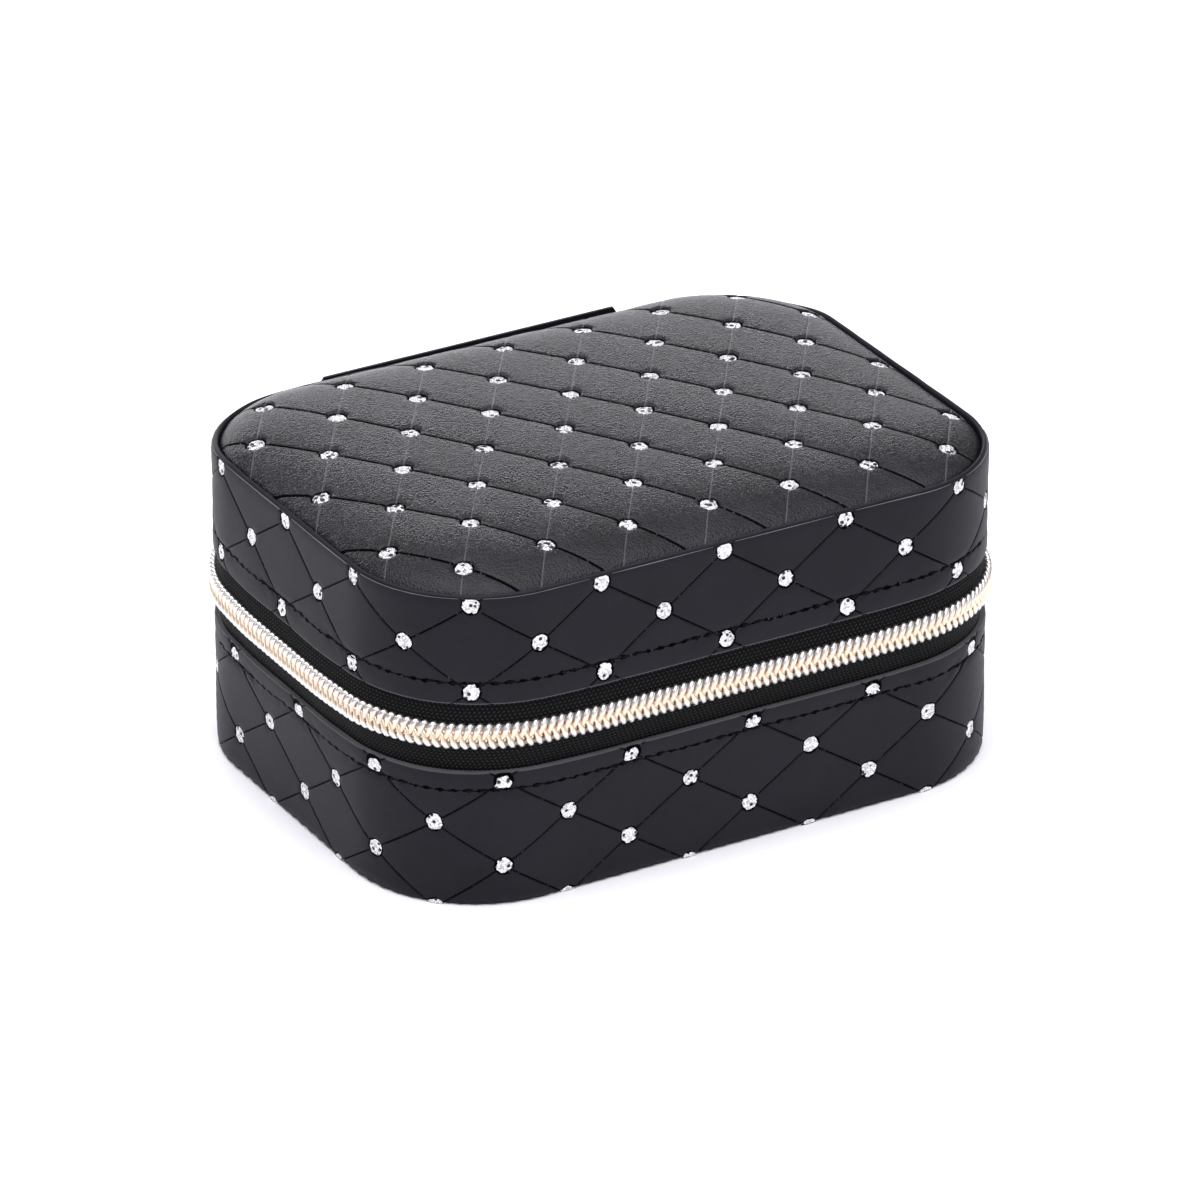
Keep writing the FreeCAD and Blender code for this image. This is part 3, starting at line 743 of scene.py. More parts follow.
# (dark, light, roughness, pebble size, relief, specular)
WALL_TONE = ((0.0045, 0.0045, 0.0075), (0.010, 0.010, 0.0145), 0.5, 0.4, 0.02, 0.15)
TOP_TONE = ((0.0005, 0.0005, 0.0007), (0.015, 0.015, 0.019), 0.25, 0.45, 0.17, 0.18)
BLACK = (0.0006, 0.0006, 0.0007)
# Painted shade: black lines in the quilting's grooves, on the walls and on the top.
PRESSED_SHADE = (0.06, 0.34, 0.95, BLACK)
SHARP_SHADE = (0.18, 0.50, 1.6, BLACK)
# Painted highlight: faint light grey lines along the top's second family of grooves.
FAINT_HIGHLIGHT = (0.02, 0.26, 0.55, (0.10, 0.10, 0.105))
both = (PRESSED_SHADE, PRESSED_SHADE)
reach = WALL_DOT + 0.25
wall_leather = leather_material("wall_leather", *WALL_TONE)[0]
lid_leather = quilted_leather("lid_leather", WALL_TONE, lid_lattice, both, reach, STITCH_LID, LID_EDGE)
base_leather = quilted_leather("base_leather", WALL_TONE, base_lattice, both, reach, STITCH_BASE, BASE_EDGE)
top_leather = quilted_leather("top_leather", TOP_TONE, top_lattice, (SHARP_SHADE, FAINT_HIGHLIGHT), TOP_DOT + 0.3)
cut_edge = leather_material("leather_cut_edge", (0.06, 0.06, 0.062), (0.12, 0.12, 0.124), 0.7, 0.4, 0.03)[0]
UNDER_DARK = (0.009, 0.009, 0.011)
UNDER_LIGHT = (0.013, 0.013, 0.015)
under_leather = leather_material("under_leather", UNDER_DARK, UNDER_LIGHT, 0.6, 0.6, 0.05)[0]
velvet = velvet_material("velvet", (0.20, 0.17, 0.15), (0.34, 0.30, 0.26))
tape_weave = tape_material()
coil_metal = metal_material("coil_plating", (0.74, 0.70, 0.67), (0.84, 0.81, 0.79), 0.34, warm_middle)
slider_metal = metal_material("slider_plating", (0.88, 0.72, 0.60), (0.93, 0.80, 0.69), 0.2)
coil_filler = metal_material("coil_filler", (0.30, 0.27, 0.25), (0.20, 0.18, 0.17), 0.45)
glitter = glitter_material("silver_glitter", (0.97, 0.97, 0.99), 0.5, 0.68, 0.25)
top_glitter = glitter_material("silver_glitter_top", (0.85, 0.85, 0.87), 0.9, 0.66, 0.33)
board = grained_material(
    "wrapped_board", (0.035, 0.033, 0.031), (0.075, 0.07, 0.066), (0.75, 0.95),
    lambda n, where: n.noise(where, 1.6, 6.0, 0.7), 0.3, 0.7, 0.06, 0.6,
)
foam = grained_material(
    "foam", (0.35, 0.33, 0.29), (0.68, 0.66, 0.6), (0.85, 1.0),
    lambda n, where: n.cells(where, 1.4), 0.1, 0.6, 0.3, 0.7,
)
thread = grained_material(
    "black_thread", (0.002, 0.002, 0.002), (0.006, 0.006, 0.007), (0.8, 1.0),
    lambda n, where: n.noise(where, 6.0), 0.3, 0.7, 0.04, 0.8, 0.08,
)
mirror_silver = mirror_material()

# ---------------------------------------------------------------- the lid's form

LEAN = (-0.012, -0.006)
BACK_DROP = 1.6
CROWN_LOW = -1.0
CROWN_FULL = 0.3
CROWN_HIGH = 3.0
CROWN_SOFT = 11.0
CROWN_STEEP = 4.0
DOME_RISE = 1.4
DOME_SOFT = 26.0
PAD_EDGE = 0.9
RIM_REACH = 8


def lean(x, y):
    """The lid's stuffing is fuller to the left and to the front."""
    return LEAN[0] * np.asarray(x) + LEAN[1] * np.asarray(y)


def rim_shift(x, y):
    """How the rim's height departs from level: it is pulled down along the back,
    by the hinge panel, and where the stuffing is lean."""
    share = np.clip((np.asarray(y) - (WIDTH / 2 - RADIUS)) / (RADIUS - 4), 0, 1)
    return np.minimum(lean(x, y), 0) - BACK_DROP * smooth(share)


def crown(x, y):
    """Height of the padded top's smooth form, and how far inside its seam a point
    is: full and steep at the back and the right, soft and sunk at the front and
    the left."""
    d = inset_distance(x, y, -SEAM_INSET)[0]
    full = np.clip(0.5 + 0.35 * np.asarray(x) / LENGTH + 0.65 * np.asarray(y) / WIDTH, 0, 1)
    inside = np.maximum(d, 0)
    at_edge = np.exp(-inside / (CROWN_SOFT + (CROWN_STEEP - CROWN_SOFT) * full))
    at_seam = CROWN_LOW + (CROWN_FULL - CROWN_LOW) * full
    rise = at_seam * at_edge + CROWN_HIGH * (1 - at_edge) + DOME_RISE * (1 - np.exp(-inside / DOME_SOFT))
    at_rim = np.exp(-inside / 4)
    return SEAM_Z + rise + rim_shift(x, y) * at_rim + lean(x, y) * (1 - at_rim), d


# ---------------------------------------------------------------- leather walls


def lid_level(s, z):
    """Where height z of a level lid wall sits, once its rim is pulled down."""
    share = np.clip((z - (WALL_TOP - RIM_REACH)) / RIM_REACH, 0, 1)
    return z + rim_shift(*around(s, 0)) * share ** 2


def wall_height(lattice, stitch, s, z):
    quilt = quilt_height(lattice, s, z, *WALL_QUILT, WALL_DOT + DOT_SEAT, 0.22)
    fade = 1 - rounded(z - stitch, 0.9)
    return quilt * fade - 0.5 * rounded(z - stitch, 0.42) + gentle(s, z, 0.07)


def make_wall(name, lattice, low, high, stitch, body, node, round_under, leather):
    """One leather wall: embossed outside, plain inside, with its cut edges."""
    s0 = BACK_S - ROUND
    s1 = BACK_S
    clips = [((s0, 0), (-1, 0)), ((s1, 0), (1, 0)), ((0, low), (0, -1)), ((0, high), (0, 1))]
    points, faces, edges = lattice.patch((s0, low), (s1, high), WALL_ROWS, clips)
    s = points[:, 0]
    z = points[:, 1]
    height = wall_height(lattice, stitch, s, z)
    under = 1 - np.clip((z - low) / 1.2, 0, 1)
    over = 1 - np.clip((high - z) / 0.5, 0, 1)
    turn = round_under * (1 - np.sqrt(1 - under ** 2)) + 0.15 * over ** 2
    lowered = lid_level(s, z)
    outer = on_wall(s, lowered, height - turn)
    inner = on_wall(s, lowered, -LEATHER + 0 * z)
    count = len(points)
    verts = np.concatenate([outer, inner])
    all_faces = list(faces) + [tuple(i + count for i in reversed(f)) for f in faces]
    edge_faces = [(b, a, a + count, b + count) for a, b in edges]
    level = [abs(z[a] - z[b]) < 0.001 for a, b in edges]
    turned_under = [round_under > 0.5 and z[a] < low + 0.01 for a, b in edges]
    indices = [0] * len(all_faces) + [int(flat and not under) for flat, under in zip(level, turned_under)]
    made = new_object(name, verts, all_faces + edge_faces, [leather, cut_edge], indices=indices)
    add_uv(made, np.concatenate([points, points]))
    return place(made, body, "black_leather", node)


def dots_on_wall(name, lattice, low, high, stitch, body):
    """Glitter dots pressed into the wall at the quilting's crossings."""
    parts = []
    for s, z in lattice.nodes((BACK_S - ROUND, low), (BACK_S, high), WALL_DOT * 0.7):
        if abs(((s - BACK_S + ROUND / 2) % ROUND) - ROUND / 2) < BEHIND_PANEL:
            continue
        sewn_over = 0 < z - stitch < WALL_DOT + 0.6
        least = stitch + 0.55 if sewn_over else low + CLEAR
        centre = z - 0.85 if sewn_over else z

        def to_surface(du, dv, h, s=s, z=centre, least=least):
            level = np.clip(z + dv, least, high - CLEAR)
            return on_wall(s + du, lid_level(s + du, level), h - DOT_SUNK)

        parts.append(dot_mesh(to_surface, WALL_DOT))
    verts, faces = joined(parts)
    made = new_object(name, verts, faces, glitter, smooth=False)
    return place(made, body, "black_leather")


def dot_mesh(to_surface, radius):
    """One irregular glitter disc: a dome of small uneven facets."""
    sides = DOT_SIDES
    rings = [1.0, 0.96, 0.74, 0.5, 0.24]
    wobble = [rng.uniform(-0.06, 0.06) for _ in range(5)]
    turn = rng.uniform(0, 6.28)
    du, dv, h = [], [], []
    for k, share in enumerate(rings):
        for i in range(sides):
            a = 2 * math.pi * (i + 0.5 * (k % 2)) / sides
            r = 1 + sum(w * math.cos((j + 2) * a + turn * (j + 1)) for j, w in enumerate(wobble))
            r = radius * share * (r + rng.uniform(-0.07, 0.07))
            du.append(r * math.cos(a))
            dv.append(r * math.sin(a))
            h.append(-0.22 if k == 0 else 0.04 + 0.16 * (1 - share ** 2) + rng.uniform(-0.08, 0.08))
    du.append(0.0)
    dv.append(0.0)
    h.append(0.2)
    verts = to_surface(np.array(du), np.array(dv), np.array(h))
    faces = []
    for k in range(len(rings) - 1):
        for i in range(sides):
            n = (i + 1) % sides
            a, b = k * sides, (k + 1) * sides
            if k % 2 == 0:
                faces += [(a + i, a + n, b + i), (a + n, b + n, b + i)]
            else:
                faces += [(a + i, a + n, b + n), (a + i, b + n, b + i)]
    last = (len(rings) - 1) * sides
    for i in range(sides):
        faces.append((last + i, last + (i + 1) % sides, len(h) - 1))
    faces.append(tuple(reversed(range(sides))))
    return verts, faces


lid_wall = (lid_lattice, LID_EDGE, WALL_TOP, STITCH_LID, "lid")
base_wall = (base_lattice, 0.0, BASE_EDGE, STITCH_BASE, "base")
make_wall("lid_quilted_wall", *lid_wall, "lid_wall_leather", 0.15, lid_leather)
make_wall("base_quilted_wall", *base_wall, "base_wall_leather", 1.0, base_leather)
dots_on_wall("lid_wall_dots", *lid_wall)
dots_on_wall("base_wall_dots", *base_wall)

# ---------------------------------------------------------------- padded top


def top_height(x, y):
    form, d = crown(x, y)
    quilt = quilt_height(top_lattice, x, y, *TOP_QUILT, TOP_DOT + DOT_SEAT, 0.80)
    fade = np.clip(d / 3.0, 0.25, 1)
    edge = PAD_EDGE * np.clip(1 - d / 1.6, 0, 1) ** 2
    return form - 0.25 + quilt * fade - edge + gentle(x, y, 0.06)


def make_top():
    """The quilted pad, cut to its seam, with its edge turned down behind the lip."""
    inset = SEAM_INSET + 1.4
    s = np.arange(96) * ROUND / 96
    on = np.stack(around(s, -inset), axis=-1)
    out = np.stack(around(s, -inset + 1), axis=-1) - on
    clips = list(zip(on, out))
    half = (LENGTH / 2 - inset, WIDTH / 2 - inset)
    points, faces, edges = top_lattice.patch((-half[0], -half[1]), half, TOP_ROWS, clips)
    x, y = points.T
    verts = [np.stack([x, y, top_height(x, y)], axis=-1)]
    count = len(points)
    all_faces = list(faces)
    after = dict(edges)
    loop = [edges[0][0]]
    while len(loop) < len(edges):
        loop.append(after[loop[-1]])
    d, nx, ny = inset_distance(x[loop], y[loop], -SEAM_INSET)
    before = loop
    for reach, level in ((0.9, None), (0.55, None), (0.25, None), (0.0, None), (-0.05, -1.6), (0.0, -2.3)):
        px = x[loop] + nx * (d - reach)
        py = y[loop] + ny * (d - reach)
        pz = top_height(px, py) if level is None else SEAM_Z + level + rim_shift(px, py)
        verts.append(np.stack([px, py, pz], axis=-1))
        now = list(range(count, count + len(loop)))
        count += len(loop)
        for i in range(len(loop)):
            all_faces.append((before[i], before[i - 1], now[i - 1], now[i]))
        before = now
    all_faces.append(tuple(reversed(before)))
    verts = np.concatenate(verts)
    made = new_object("lid_padded_top", verts, all_faces, top_leather, sharp=60)
    add_uv(made, verts[:, :2])
    place(made, "lid", "top_leather", "lid_top_leather", "lid_top_foam")


def make_top_dots():
    parts = []
    half = (LENGTH / 2 - SEAM_INSET, WIDTH / 2 - SEAM_INSET)
    for x, y in top_lattice.nodes((-half[0], -half[1]), half):
        if inset_distance(x, y, -SEAM_INSET)[0] < 2.6:
            continue

        def to_surface(du, dv, h, x=x, y=y):
            return np.stack([x + du, y + dv, crown(x + du, y + dv)[0] - 0.72 + h], axis=-1)

        parts.append(dot_mesh(to_surface, TOP_DOT))
    verts, faces = joined(parts)
    made = new_object("lid_top_dots", verts, faces, top_glitter, smooth=False)
    place(made, "lid", "top_leather")


make_top()
make_top_dots()

# Out from the top's seam, and up from the wall's top.
WELT = [
    (0.02, -1.2), (SEAM_INSET + 0.5 - LEATHER, -1.2), (1.35, -0.3), (1.20, 0.2),
    (0.9, 0.62), (0.55, 0.66), (0.18, 0.35), (0.05, -0.3),
]
welt_profile = [(o - SEAM_INSET, z + WALL_TOP) for o, z in WELT]


def welt_wave(s, o, z):
    z = z + np.where(z > WALL_TOP, 0.08, 0) * np.sin(s / 3.1 + 1) * np.sin(s / 7.3)
    return o + 0.05 * np.sin(s / 5.3), z + rim_shift(*around(s, 0))


welt = swept(
    "lid_top_lip", welt_profile, 0, ROUND, wall_leather, closed=True, curved=1.0, sharp=50, wave=welt_wave
)
place(welt, "lid", "black_leather", "lid_top_welt")

# ---------------------------------------------------------------- stitches

PANEL_LOW, PANEL_HIGH = node_box("hinge_panel_upper")
PANEL_HALF = PANEL_HIGH[0]


def make_stitches(name, line, body, node):
    """Each stitch is a thread that leaves the leather, lies on it and goes back in."""
    parts = []
    s0 = BACK_S + PANEL_HALF + 1.5
    s1 = BACK_S + ROUND - PANEL_HALF - 1.5
    t = np.linspace(0, 1, 9)
    arch = np.sin(np.pi * t)
    lift = np.where((t == 0) | (t == 1), -0.45, 0.2 * np.sqrt(np.abs(arch)))
    for i in range(int((s1 - s0) / STITCH_PITCH)):
        start = s0 + i * STITCH_PITCH + 0.3
        tilt = 0.12 + rng.uniform(-0.05, 0.05)
        path = on_wall(start + (STITCH_PITCH - 0.65) * t, line + tilt * (2 * t - 1), lift - 0.50)
        parts.append(tube(path, 0.27 * (0.75 + 0.25 * arch), 6))
    verts, faces = joined(parts)
    made = new_object(name, verts, faces, thread)
    place(made, body, "thread", node)


make_stitches("lid_stitches", STITCH_LID, "lid", "lid_stitching")
make_stitches("base_stitches", STITCH_BASE, "base", "base_stitching")

# ---------------------------------------------------------------- zip

COIL_OUT = node_box("base_zip_coil")[1][0] - LENGTH / 2
COIL_LOW = node_box("base_zip_coil")[0][2]
COIL_HIGH = node_box("lid_zip_coil")[1][2]
COIL_PITCH = 2.05
COIL_STEPS = 18
COIL_WIRE = 0.70
COIL_DEPTH = 0.52
COIL_MESH = 0.50
COIL_SLANT = 0.125
ZIP_END = 42.0
TAPE_END = 33.0
TAPE_IN = 0.02 - LEATHER
TAPE_OUT = COIL_OUT - 1.75
TAPE_THICK = 0.55


def tape_profile(edge, coil, up):
    """Tape from behind the leather's edge out to the coil, and back inside."""
    below = edge - 0.4 * up
    far = coil - 0.3 * up
    out = [
        (TAPE_IN, edge + 5.0 * up), (TAPE_IN, below), (TAPE_OUT - 0.25, far - (far - below) * 0.35),
        (TAPE_OUT, far), (TAPE_OUT, SPLIT + 0.35 * up),
    ]
    fine = cut_fine(out, 1.2)
    return fine + [(o - TAPE_THICK, z) for o, z in reversed(fine)]


def tape_wave(s, o, z):
    return o + 0.05 * np.sin(s / 4.1) * np.sin(z / 1.7), z


for profile, body in (
    (tape_profile(BASE_EDGE, COIL_LOW, -1)[::-1], "base"),
    (tape_profile(LID_EDGE, COIL_HIGH, 1), "lid"),
):
    ends = (BACK_S + TAPE_END, BACK_S + ROUND - TAPE_END)
    piece = swept(body + "_tape", profile, *ends, tape_weave, straight=2.0, sharp=70, wave=tape_wave)
    place(piece, body, "zip_tape", body + "_zip_tape")


def make_coil(name, side, body, node):
    """One coil row: a flattened spiral of plated filament whose heads mesh with
    the other row's heads, half a pitch along."""
    s0 = BACK_S + ZIP_END
    s1 = BACK_S + ROUND - ZIP_END
    t = np.arange(int((s1 - s0) / COIL_PITCH) * COIL_STEPS + 1) / COIL_STEPS
    swing = np.cos(2 * np.pi * t)
    phase = 0.0 if side > 0 else 0.5
    s = s0 + (t + phase + COIL_SLANT * swing) * COIL_PITCH
    share = (1 + np.sign(swing) * np.abs(swing) ** 0.8) / 2
    tall = (COIL_HIGH - COIL_LOW) / 2 - 1.1 * COIL_WIRE + COIL_MESH
    z = SPLIT + side * (tall * share - COIL_MESH)
    core = COIL_OUT - COIL_WIRE - COIL_DEPTH
    offset = core - COIL_DEPTH * np.sin(2 * np.pi * t) * (0.75 + 0.25 * share)
    radius = np.interp(share, [0, 0.3, 0.62, 1], [0.66, 0.58, 0.80, 0.68])
    verts, faces = tube(on_wall(s, z, offset), radius, 8)
    made = new_object(name, verts, faces, coil_metal, sharp=None)
    place(made, body, "coil", node)
    profile = [(core - 0.3, 1.15), (core + 0.6, 1.45), (core + 0.6, 2.3), (core - 0.3, 2.6)]
    cord = swept(name + "_core", [(o, SPLIT + side * z) for o, z in profile], s0, s1, coil_filler, sharp=60)
    place(outward(cord), body, "coil")


make_coil("lid_coil", 1, "lid", "lid_zip_coil")
make_coil("base_coil", -1, "base", "base_zip_coil")

# ---------------------------------------------------------------- hinge panel


def make_hinge_panel():
    """One piece of leather sewn to the backs of lid and base, with a shallow dip where they meet."""
    low = node_box("hinge_panel_lower")[0][2]
    high = PANEL_HIGH[2] - 0.5
    corner = 0.8
    bend = 6
    zs = np.concatenate([
        np.linspace(low, SPLIT - bend, 24), np.linspace(SPLIT - bend, SPLIT + bend, 25)[1:-1],
        np.linspace(SPLIT + bend, high, 22),
    ])
    us = np.linspace(-1, 1, 41)
    us = np.sign(us) * (1 - (1 - np.abs(us)) ** 1.5)
    z, u = np.meshgrid(zs, us, indexing="ij")
    from_end = np.minimum(z - low, high - z)
    pull = corner - np.sqrt(np.maximum(corner ** 2 - np.maximum(corner - from_end, 0) ** 2, 0))
    x = u * (PANEL_HALF - pull)
    from_edge = np.minimum(PANEL_HALF - pull - np.abs(x), from_end)
    seam = rounded(np.minimum(PANEL_HALF - np.abs(x), from_end) - 3.2, 0.55)
    rolled = np.maximum(0, 1 - from_edge / 0.6) ** 2
    uneven = np.sin(x / 11 + z / 9) * np.sin(z / 6)
    rise = 0.10 * uneven - 0.35 * seam - 0.5 * rolled - 0.30 * rounded(z - SPLIT, 2.0)
    outer = np.stack([x, PANEL_HIGH[1] - 0.25 + rise, z], axis=-1)
    inner = np.stack([x, np.full_like(x, PANEL_LOW[1] + 0.05), z], axis=-1)
    spot = np.arange(x.size).reshape(x.shape)
    cells = np.stack([spot[:-1, :-1], spot[1:, :-1], spot[1:, 1:], spot[:-1, 1:]], axis=-1).reshape(-1, 4)
    border = np.concatenate([spot[0], spot[1:, -1], spot[-1, -2::-1], spot[-2:0:-1, 0]])
    after = np.roll(border, -1)
    edge = np.stack([border, after, after + x.size, border + x.size], axis=-1)
    faces = np.concatenate([cells, cells[:, ::-1] + x.size, edge]).tolist()
    verts = np.concatenate([outer.reshape(-1, 3), inner.reshape(-1, 3)])
    made = new_object("hinge_panel", verts, faces, wall_leather, sharp=50)
    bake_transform(made)
    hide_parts("hinge_panel_lower", "hinge_panel_upper")
    bpy.context.view_layer.update()


make_hinge_panel()

# ---------------------------------------------------------------- soft inside


LINING_OUT = node_box("base_wall_lining")[1][0] - LENGTH / 2
LINING_IN = LINING_OUT - 0.8
HOOK_OUT = -LEATHER - 0.15
# Offset, and height over the rim, from the wall's inside round to behind the tape.
OVER_RIM = [
    (LINING_IN, -0.7), (LINING_IN + 0.25, -0.1), (LINING_IN + 0.8, 0.22), (-3.0, 0.25), (-2.0, 0.22),
    (HOOK_OUT - 0.15, 0.05), (HOOK_OUT, -0.6), (HOOK_OUT, -2.4), (HOOK_OUT - 0.25, -2.4),
    (HOOK_OUT - 0.35, -0.05), (LINING_OUT, -0.05),
]


def lining_wave(s, o, z):
    """A little uneven; only the edge hooked over the rim follows the bulge."""
    follows = np.clip((o - LINING_OUT) / (HOOK_OUT - LINING_OUT), 0, 1)
    return o + follows * bulge(s, z) + 0.10 * np.sin(s / 6.1 + z / 8.3) * np.sin(z / 5.2 + s / 17), z


def make_lining(body, rim, end, up):
    """Velvet from inside height end up the wall, over its rim and behind the tape."""
    profile = [(LINING_IN, end)] + [(o, rim + up * z) for o, z in OVER_RIM] + [(LINING_OUT, end)]
    piece = swept(
        body + "_velvet_wall", cut_fine(profile, 3, closed=True), 0, ROUND, velvet,
        closed=True, straight=4.0, curved=2.0, sharp=60, wave=lining_wave, swell=False,
    )
    place(outward(piece), body, "velvet", body + "_wall_lining")


def soft_plate(name, node, visible_up, uneven, skin, body, slot, turn=0.6):
    """A covered plate that fills a CAD plate's space, its visible face uneven and
    its edges turned over."""
    low, high = node_box(node)
    inset = LENGTH / 2 - high[0]
    scales = [1.0, 0.997, 0.99, 0.975, 0.95, 0.91, 0.86, 0.78, 0.68, 0.56, 0.43, 0.3, 0.17, 0.06]
    count = 160
    s = np.arange(count) * ROUND / count
    x, y = around(s, -inset)
    near, far = (high[2], low[2]) if visible_up else (low[2], high[2])
    way = 1 if visible_up else -1
    rings = [np.stack([x, y, np.full(count, far)], axis=-1)]
    for share in scales:
        reach = (1 - share) * WIDTH / 2
        down = turn * max(0.0, 1 - reach / 1.2) ** 2
        sag = uneven * min(1.0, reach / 6) * (0.5 - 0.5 * gentle(x * share, y * share))
        rings.append(np.stack([x * share, y * share, near - way * (down + sag)], axis=-1))
    made = outward(new_object(name, np.concatenate(rings), loft(len(rings), count), skin, sharp=60))
    return place(made, body, slot, node)


def bar(section, ends, axis, rings, shape):
    """A closed bar: a section carried along an axis; shape(distance from the
    nearer end, place along) gives the section's scale and its shift."""
    section = np.asarray(section, float)
    verts = []
    for along in rings:
        scale, shift = shape(min(along - ends[0], ends[1] - along), along)
        for u, w in section * scale:
            verts.append((along, u, w + shift) if axis == 0 else (u, along, w + shift))
    return np.array(verts), loft(len(rings), len(section))


def ring_places(ends, dome, steps):
    """Places along a bar, closer together in its domed ends."""
    turns = dome * (1 - np.cos(np.linspace(0.15, math.pi / 2, 7)))
    middle = np.linspace(ends[0] + dome, ends[1] - dome, steps)[1:-1]
    return np.concatenate([ends[0] + turns, middle, ends[1] - turns[::-1]])


def domed(dome, least=0.3):
    """Scale of a section near the domed end of a bar."""
    def scale(reach):
        t = min(max(reach / dome, 0), 1)
        return max(least, math.sqrt(1 - (1 - t) ** 2))
    return scale


def rounded_section(half_u, half_w, corner):
    """A rectangle's outline with round corners of six points each."""
    points = []
    for cu, cw, start in ((1, 1, 0), (-1, 1, 90), (-1, -1, 180), (1, -1, 270)):
        for turn in range(0, 91, 18):
            a = math.radians(start + turn)
            u = cu * (half_u - corner) + corner * math.cos(a)
            points.append((u, cw * (half_w - corner) + corner * math.sin(a)))
    return points


def make_dividers():
    """Boards wrapped in velvet: round along the top, a little uneven."""
    for node, axis in (("divider_left", 1), ("divider_right", 1), ("divider_cross", 0)):
        low, high = node_box(node)
        middle = (low + high) / 2
        half = (high - low) / 2
        across = 1 - axis
        section = rounded_section(half[across] - 0.06, half[2], half[across] * 0.85)
        ends = (low[axis], high[axis])

        def shape(reach, along):
            sag = math.sin(math.pi * (along - ends[0]) / (ends[1] - ends[0]))
            return 1.0, 0.08 * math.sin(along / 5) - 0.25 * sag

        verts, faces = bar(section, ends, axis, np.linspace(*ends, 40), shape)
        verts[:, across] += middle[across] + 0.05 * np.sin(verts[:, axis] / 7) * np.sin(verts[:, 2] / 6)
        verts[:, 2] = np.maximum(verts[:, 2] + middle[2], low[2])
        made = outward(new_object("velvet_" + node, verts, faces, velvet, sharp=50))
        place(made, "base", "velvet", node)


ROLL_COUNT = 8
ROLL_RADIUS = 6.3
ROLL_DOME = 3.2
BED_DOME = 1.2


def make_ring_rolls():
    """Foam rolls in velvet, side by side; rings are pushed between them."""
    low, high = node_box("ring_rolls")
    ends = (low[0], high[0])
    scale = domed(ROLL_DOME)
    turn = np.linspace(0, 2 * math.pi, 32, endpoint=False)
    circle = ROLL_RADIUS * np.stack([np.cos(turn), np.sin(turn)], axis=-1)
    parts = []
    for centre in np.linspace(low[1] + ROLL_RADIUS, high[1] - ROLL_RADIUS, ROLL_COUNT):
        phase = rng.uniform(0, 6.28)

        def shape(reach, along):
            return scale(reach) * (0.985 + 0.015 * math.sin(along / 4.7 + phase)), 0.0

        verts, faces = bar(circle, ends, 0, ring_places(ends, ROLL_DOME, 26), shape)
        around = np.arctan2(verts[:, 2], verts[:, 1])
        uneven = 1 + 0.012 * np.sin(verts[:, 0] / 3.1 + phase) * np.sin(3 * around)
        verts[:, 1] = verts[:, 1] * uneven + centre
        verts[:, 2] = np.maximum(verts[:, 2] * uneven, -ROLL_RADIUS + 0.25) + (low[2] + high[2]) / 2
        parts.append((verts, faces))
    verts, faces = joined(parts)
    made = outward(new_object("velvet_ring_rolls", verts, faces, velvet, sharp=None))
    place(made, "base", "velvet", "ring_rolls")


def make_roll_bed():
    """The foam slab under the rolls, covered in velvet."""
    low, high = node_box("ring_roll_bed")
    section = rounded_section((high[1] - low[1]) / 2 - 0.1, (high[2] - low[2]) / 2, 1.6)
    ends = (low[0] + 0.1, high[0] - 0.1)
    scale = domed(BED_DOME, 0.96)
    places = ring_places(ends, BED_DOME, 20)
    verts, faces = bar(section, ends, 0, places, lambda reach, along: (scale(reach), 0.0))
    x, y, z = verts.T
    uneven = 0.12 * np.sin(x / 4) * np.sin(y / 5) * (z > 0) - 0.12
    verts[:, 2] = np.maximum(z + (low[2] + high[2]) / 2 + uneven, low[2])
    made = outward(new_object("velvet_roll_bed", verts, faces, velvet, sharp=50))
    place(made, "base", "velvet", "ring_roll_bed")


def bevelled(name, node, width, skin, body, slot):
    """A hard part with its edges broken, in place of its sharp CAD form."""
    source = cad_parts[node]
    bm = bmesh.new()
    bm.from_mesh(source.data)
    bm.transform(source.matrix_world)
    bmesh.ops.remove_doubles(bm, verts=bm.verts[:], dist=1e-6)
    bmesh.ops.dissolve_limit(bm, angle_limit=math.radians(1), verts=bm.verts[:], edges=bm.edges[:])
    sharp = [e for e in bm.edges if len(e.link_faces) == 2 and e.calc_face_angle(0) > math.radians(32)]
    bmesh.ops.bevel(
        bm, geom=sharp, offset=width * MM, segments=3, affect="EDGES", clamp_overlap=True, profile=0.5
    )
    mesh = bpy.data.meshes.new(name)
    bm.to_mesh(mesh)
    bm.free()
    mesh.materials.append(skin)
    mesh.polygons.foreach_set("use_smooth", [True] * len(mesh.polygons))
    mesh.set_sharp_from_angle(angle=math.radians(40))
    made = bpy.data.objects.new(name, mesh)
    bpy.context.scene.collection.objects.link(made)
    return place(made, body, slot, node)


make_lining("base", node_box("base_wall_lining")[1][2], node_box("base_floor_lining")[1][2] - 0.5, 1)
make_lining("lid", node_box("lid_wall_lining")[0][2], node_box("lid_ceiling_lining")[0][2] + 0.5, -1)
soft_plate("base_velvet_floor", "base_floor_lining", True, 0.25, velvet, "base", "velvet")
soft_plate("lid_velvet_ceiling", "lid_ceiling_lining", False, 0.25, velvet, "lid", "velvet")
soft_plate(
    "base_bottom_skin", "base_bottom_leather", False, 0.12, under_leather, "base", "black_leather", 0.3
)
make_dividers()
make_ring_rolls()
make_roll_bed()
bevelled("mirror_border", "mirror_frame", 0.7, wall_leather, "lid", "black_leather")
for name, node, body in (
    ("slider_housing", "slider_body", "slider"),
    ("pull_tab", "slider_pull", "pull"),
    ("base_stops", "base_zip_stops", "base"),
    ("lid_stops", "lid_zip_stops", "lid"),
):
    bevelled(name, node, 0.3, slider_metal, body, "zip_metal")

# ---------------------------------------------------------------- carried-over CAD

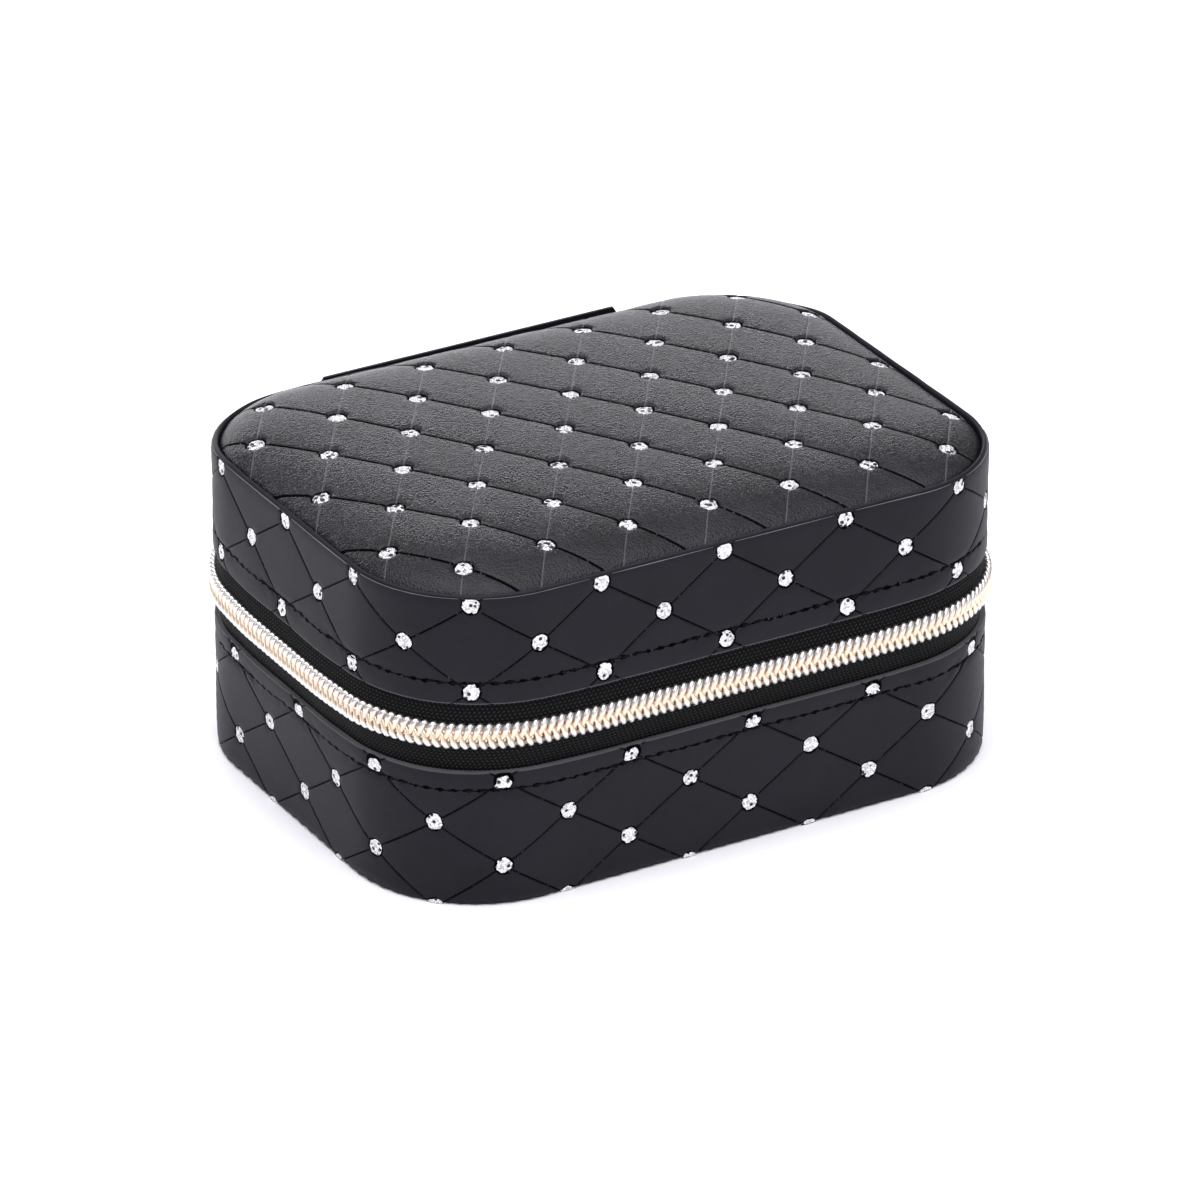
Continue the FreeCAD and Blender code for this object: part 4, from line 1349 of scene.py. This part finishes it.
for skin, nodes in (
    (foam, ("base_wall_foam", "lid_wall_foam")),
    (board, ("base_bottom_board", "base_wall_board", "lid_top_board", "lid_wall_board")),
    (mirror_silver, ("mirror_glass",)),
):
    for node in nodes:
        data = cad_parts[node].data
        data.materials.clear()
        data.materials.append(skin)

# ---------------------------------------------------------------- floor, light, camera


def make_stage():
    floor_material = material("floor_paper", (0.86, 0.86, 0.87), 0.8)
    n = Nodes(floor_material)
    n.finish(n.ramp(n.noise(n.place(), 0.002, 2.0), 0.3, 0.7, (0.85, 0.85, 0.86), (0.88, 0.88, 0.89)))
    size = 6000
    corners = [(-size, -size, 0), (size, -size, 0), (size, size, 0), (-size, size, 0)]
    new_object("floor", corners, [(0, 1, 2, 3)], floor_material)
    world = bpy.data.worlds.new("studio")
    bpy.context.scene.world = world
    world.use_nodes = True
    background = world.node_tree.nodes["Background"]
    background.inputs["Color"].default_value = (0.97, 0.98, 1.0, 1)
    background.inputs["Strength"].default_value = 0.42
    bpy.context.scene.view_settings.view_transform = "Standard"


LAMP_TINT = (0.955, 0.95, 1.0)
CAMERA_ANGLE = (math.radians(-29.9), math.radians(27.0))
CAMERA_LENS = 272.3
CAMERA_AWAY = 2071
AIM_HEIGHT = 35.2


def area_light(name, place_mm, size_mm, power, aim=(0, 0, 40), gloss=1.0):
    data = bpy.data.lights.new(name, "AREA")
    data.shape = "RECTANGLE"
    data.size = size_mm[0] * MM
    data.size_y = size_mm[1] * MM
    data.energy = power
    data.color = LAMP_TINT
    data.specular_factor = gloss
    lamp = bpy.data.objects.new(name, data)
    bpy.context.scene.collection.objects.link(lamp)
    lamp.location = Vector(place_mm) * MM
    way = (Vector(aim) - Vector(place_mm)).normalized()
    lamp.rotation_euler = way.to_track_quat("-Z", "Y").to_euler()


def make_camera():
    azimuth, elevation = CAMERA_ANGLE
    level = math.cos(elevation)
    back = Vector((math.sin(azimuth) * level, -math.cos(azimuth) * level, math.sin(elevation)))
    aim = Vector((0, 0, AIM_HEIGHT)) * MM
    data = bpy.data.cameras.new("camera")
    data.lens = CAMERA_LENS
    data.sensor_width = 36
    data.clip_start = 0.05
    data.clip_end = 50
    camera = bpy.data.objects.new("camera", data)
    bpy.context.scene.collection.objects.link(camera)
    camera.location = aim + back * CAMERA_AWAY * MM
    camera.rotation_euler = (-back).to_track_quat("-Z", "Y").to_euler()
    bpy.context.scene.camera = camera


make_stage()
area_light("overhead", (-100, -100, 1700), (2400, 2400), 66, gloss=0.25)
area_light("back_card", (60, 420, 140), (700, 90), 0.72, (0, 0, 80))
area_light("front_card", (-250, -1100, 700), (900, 500), 3.5)
make_camera()
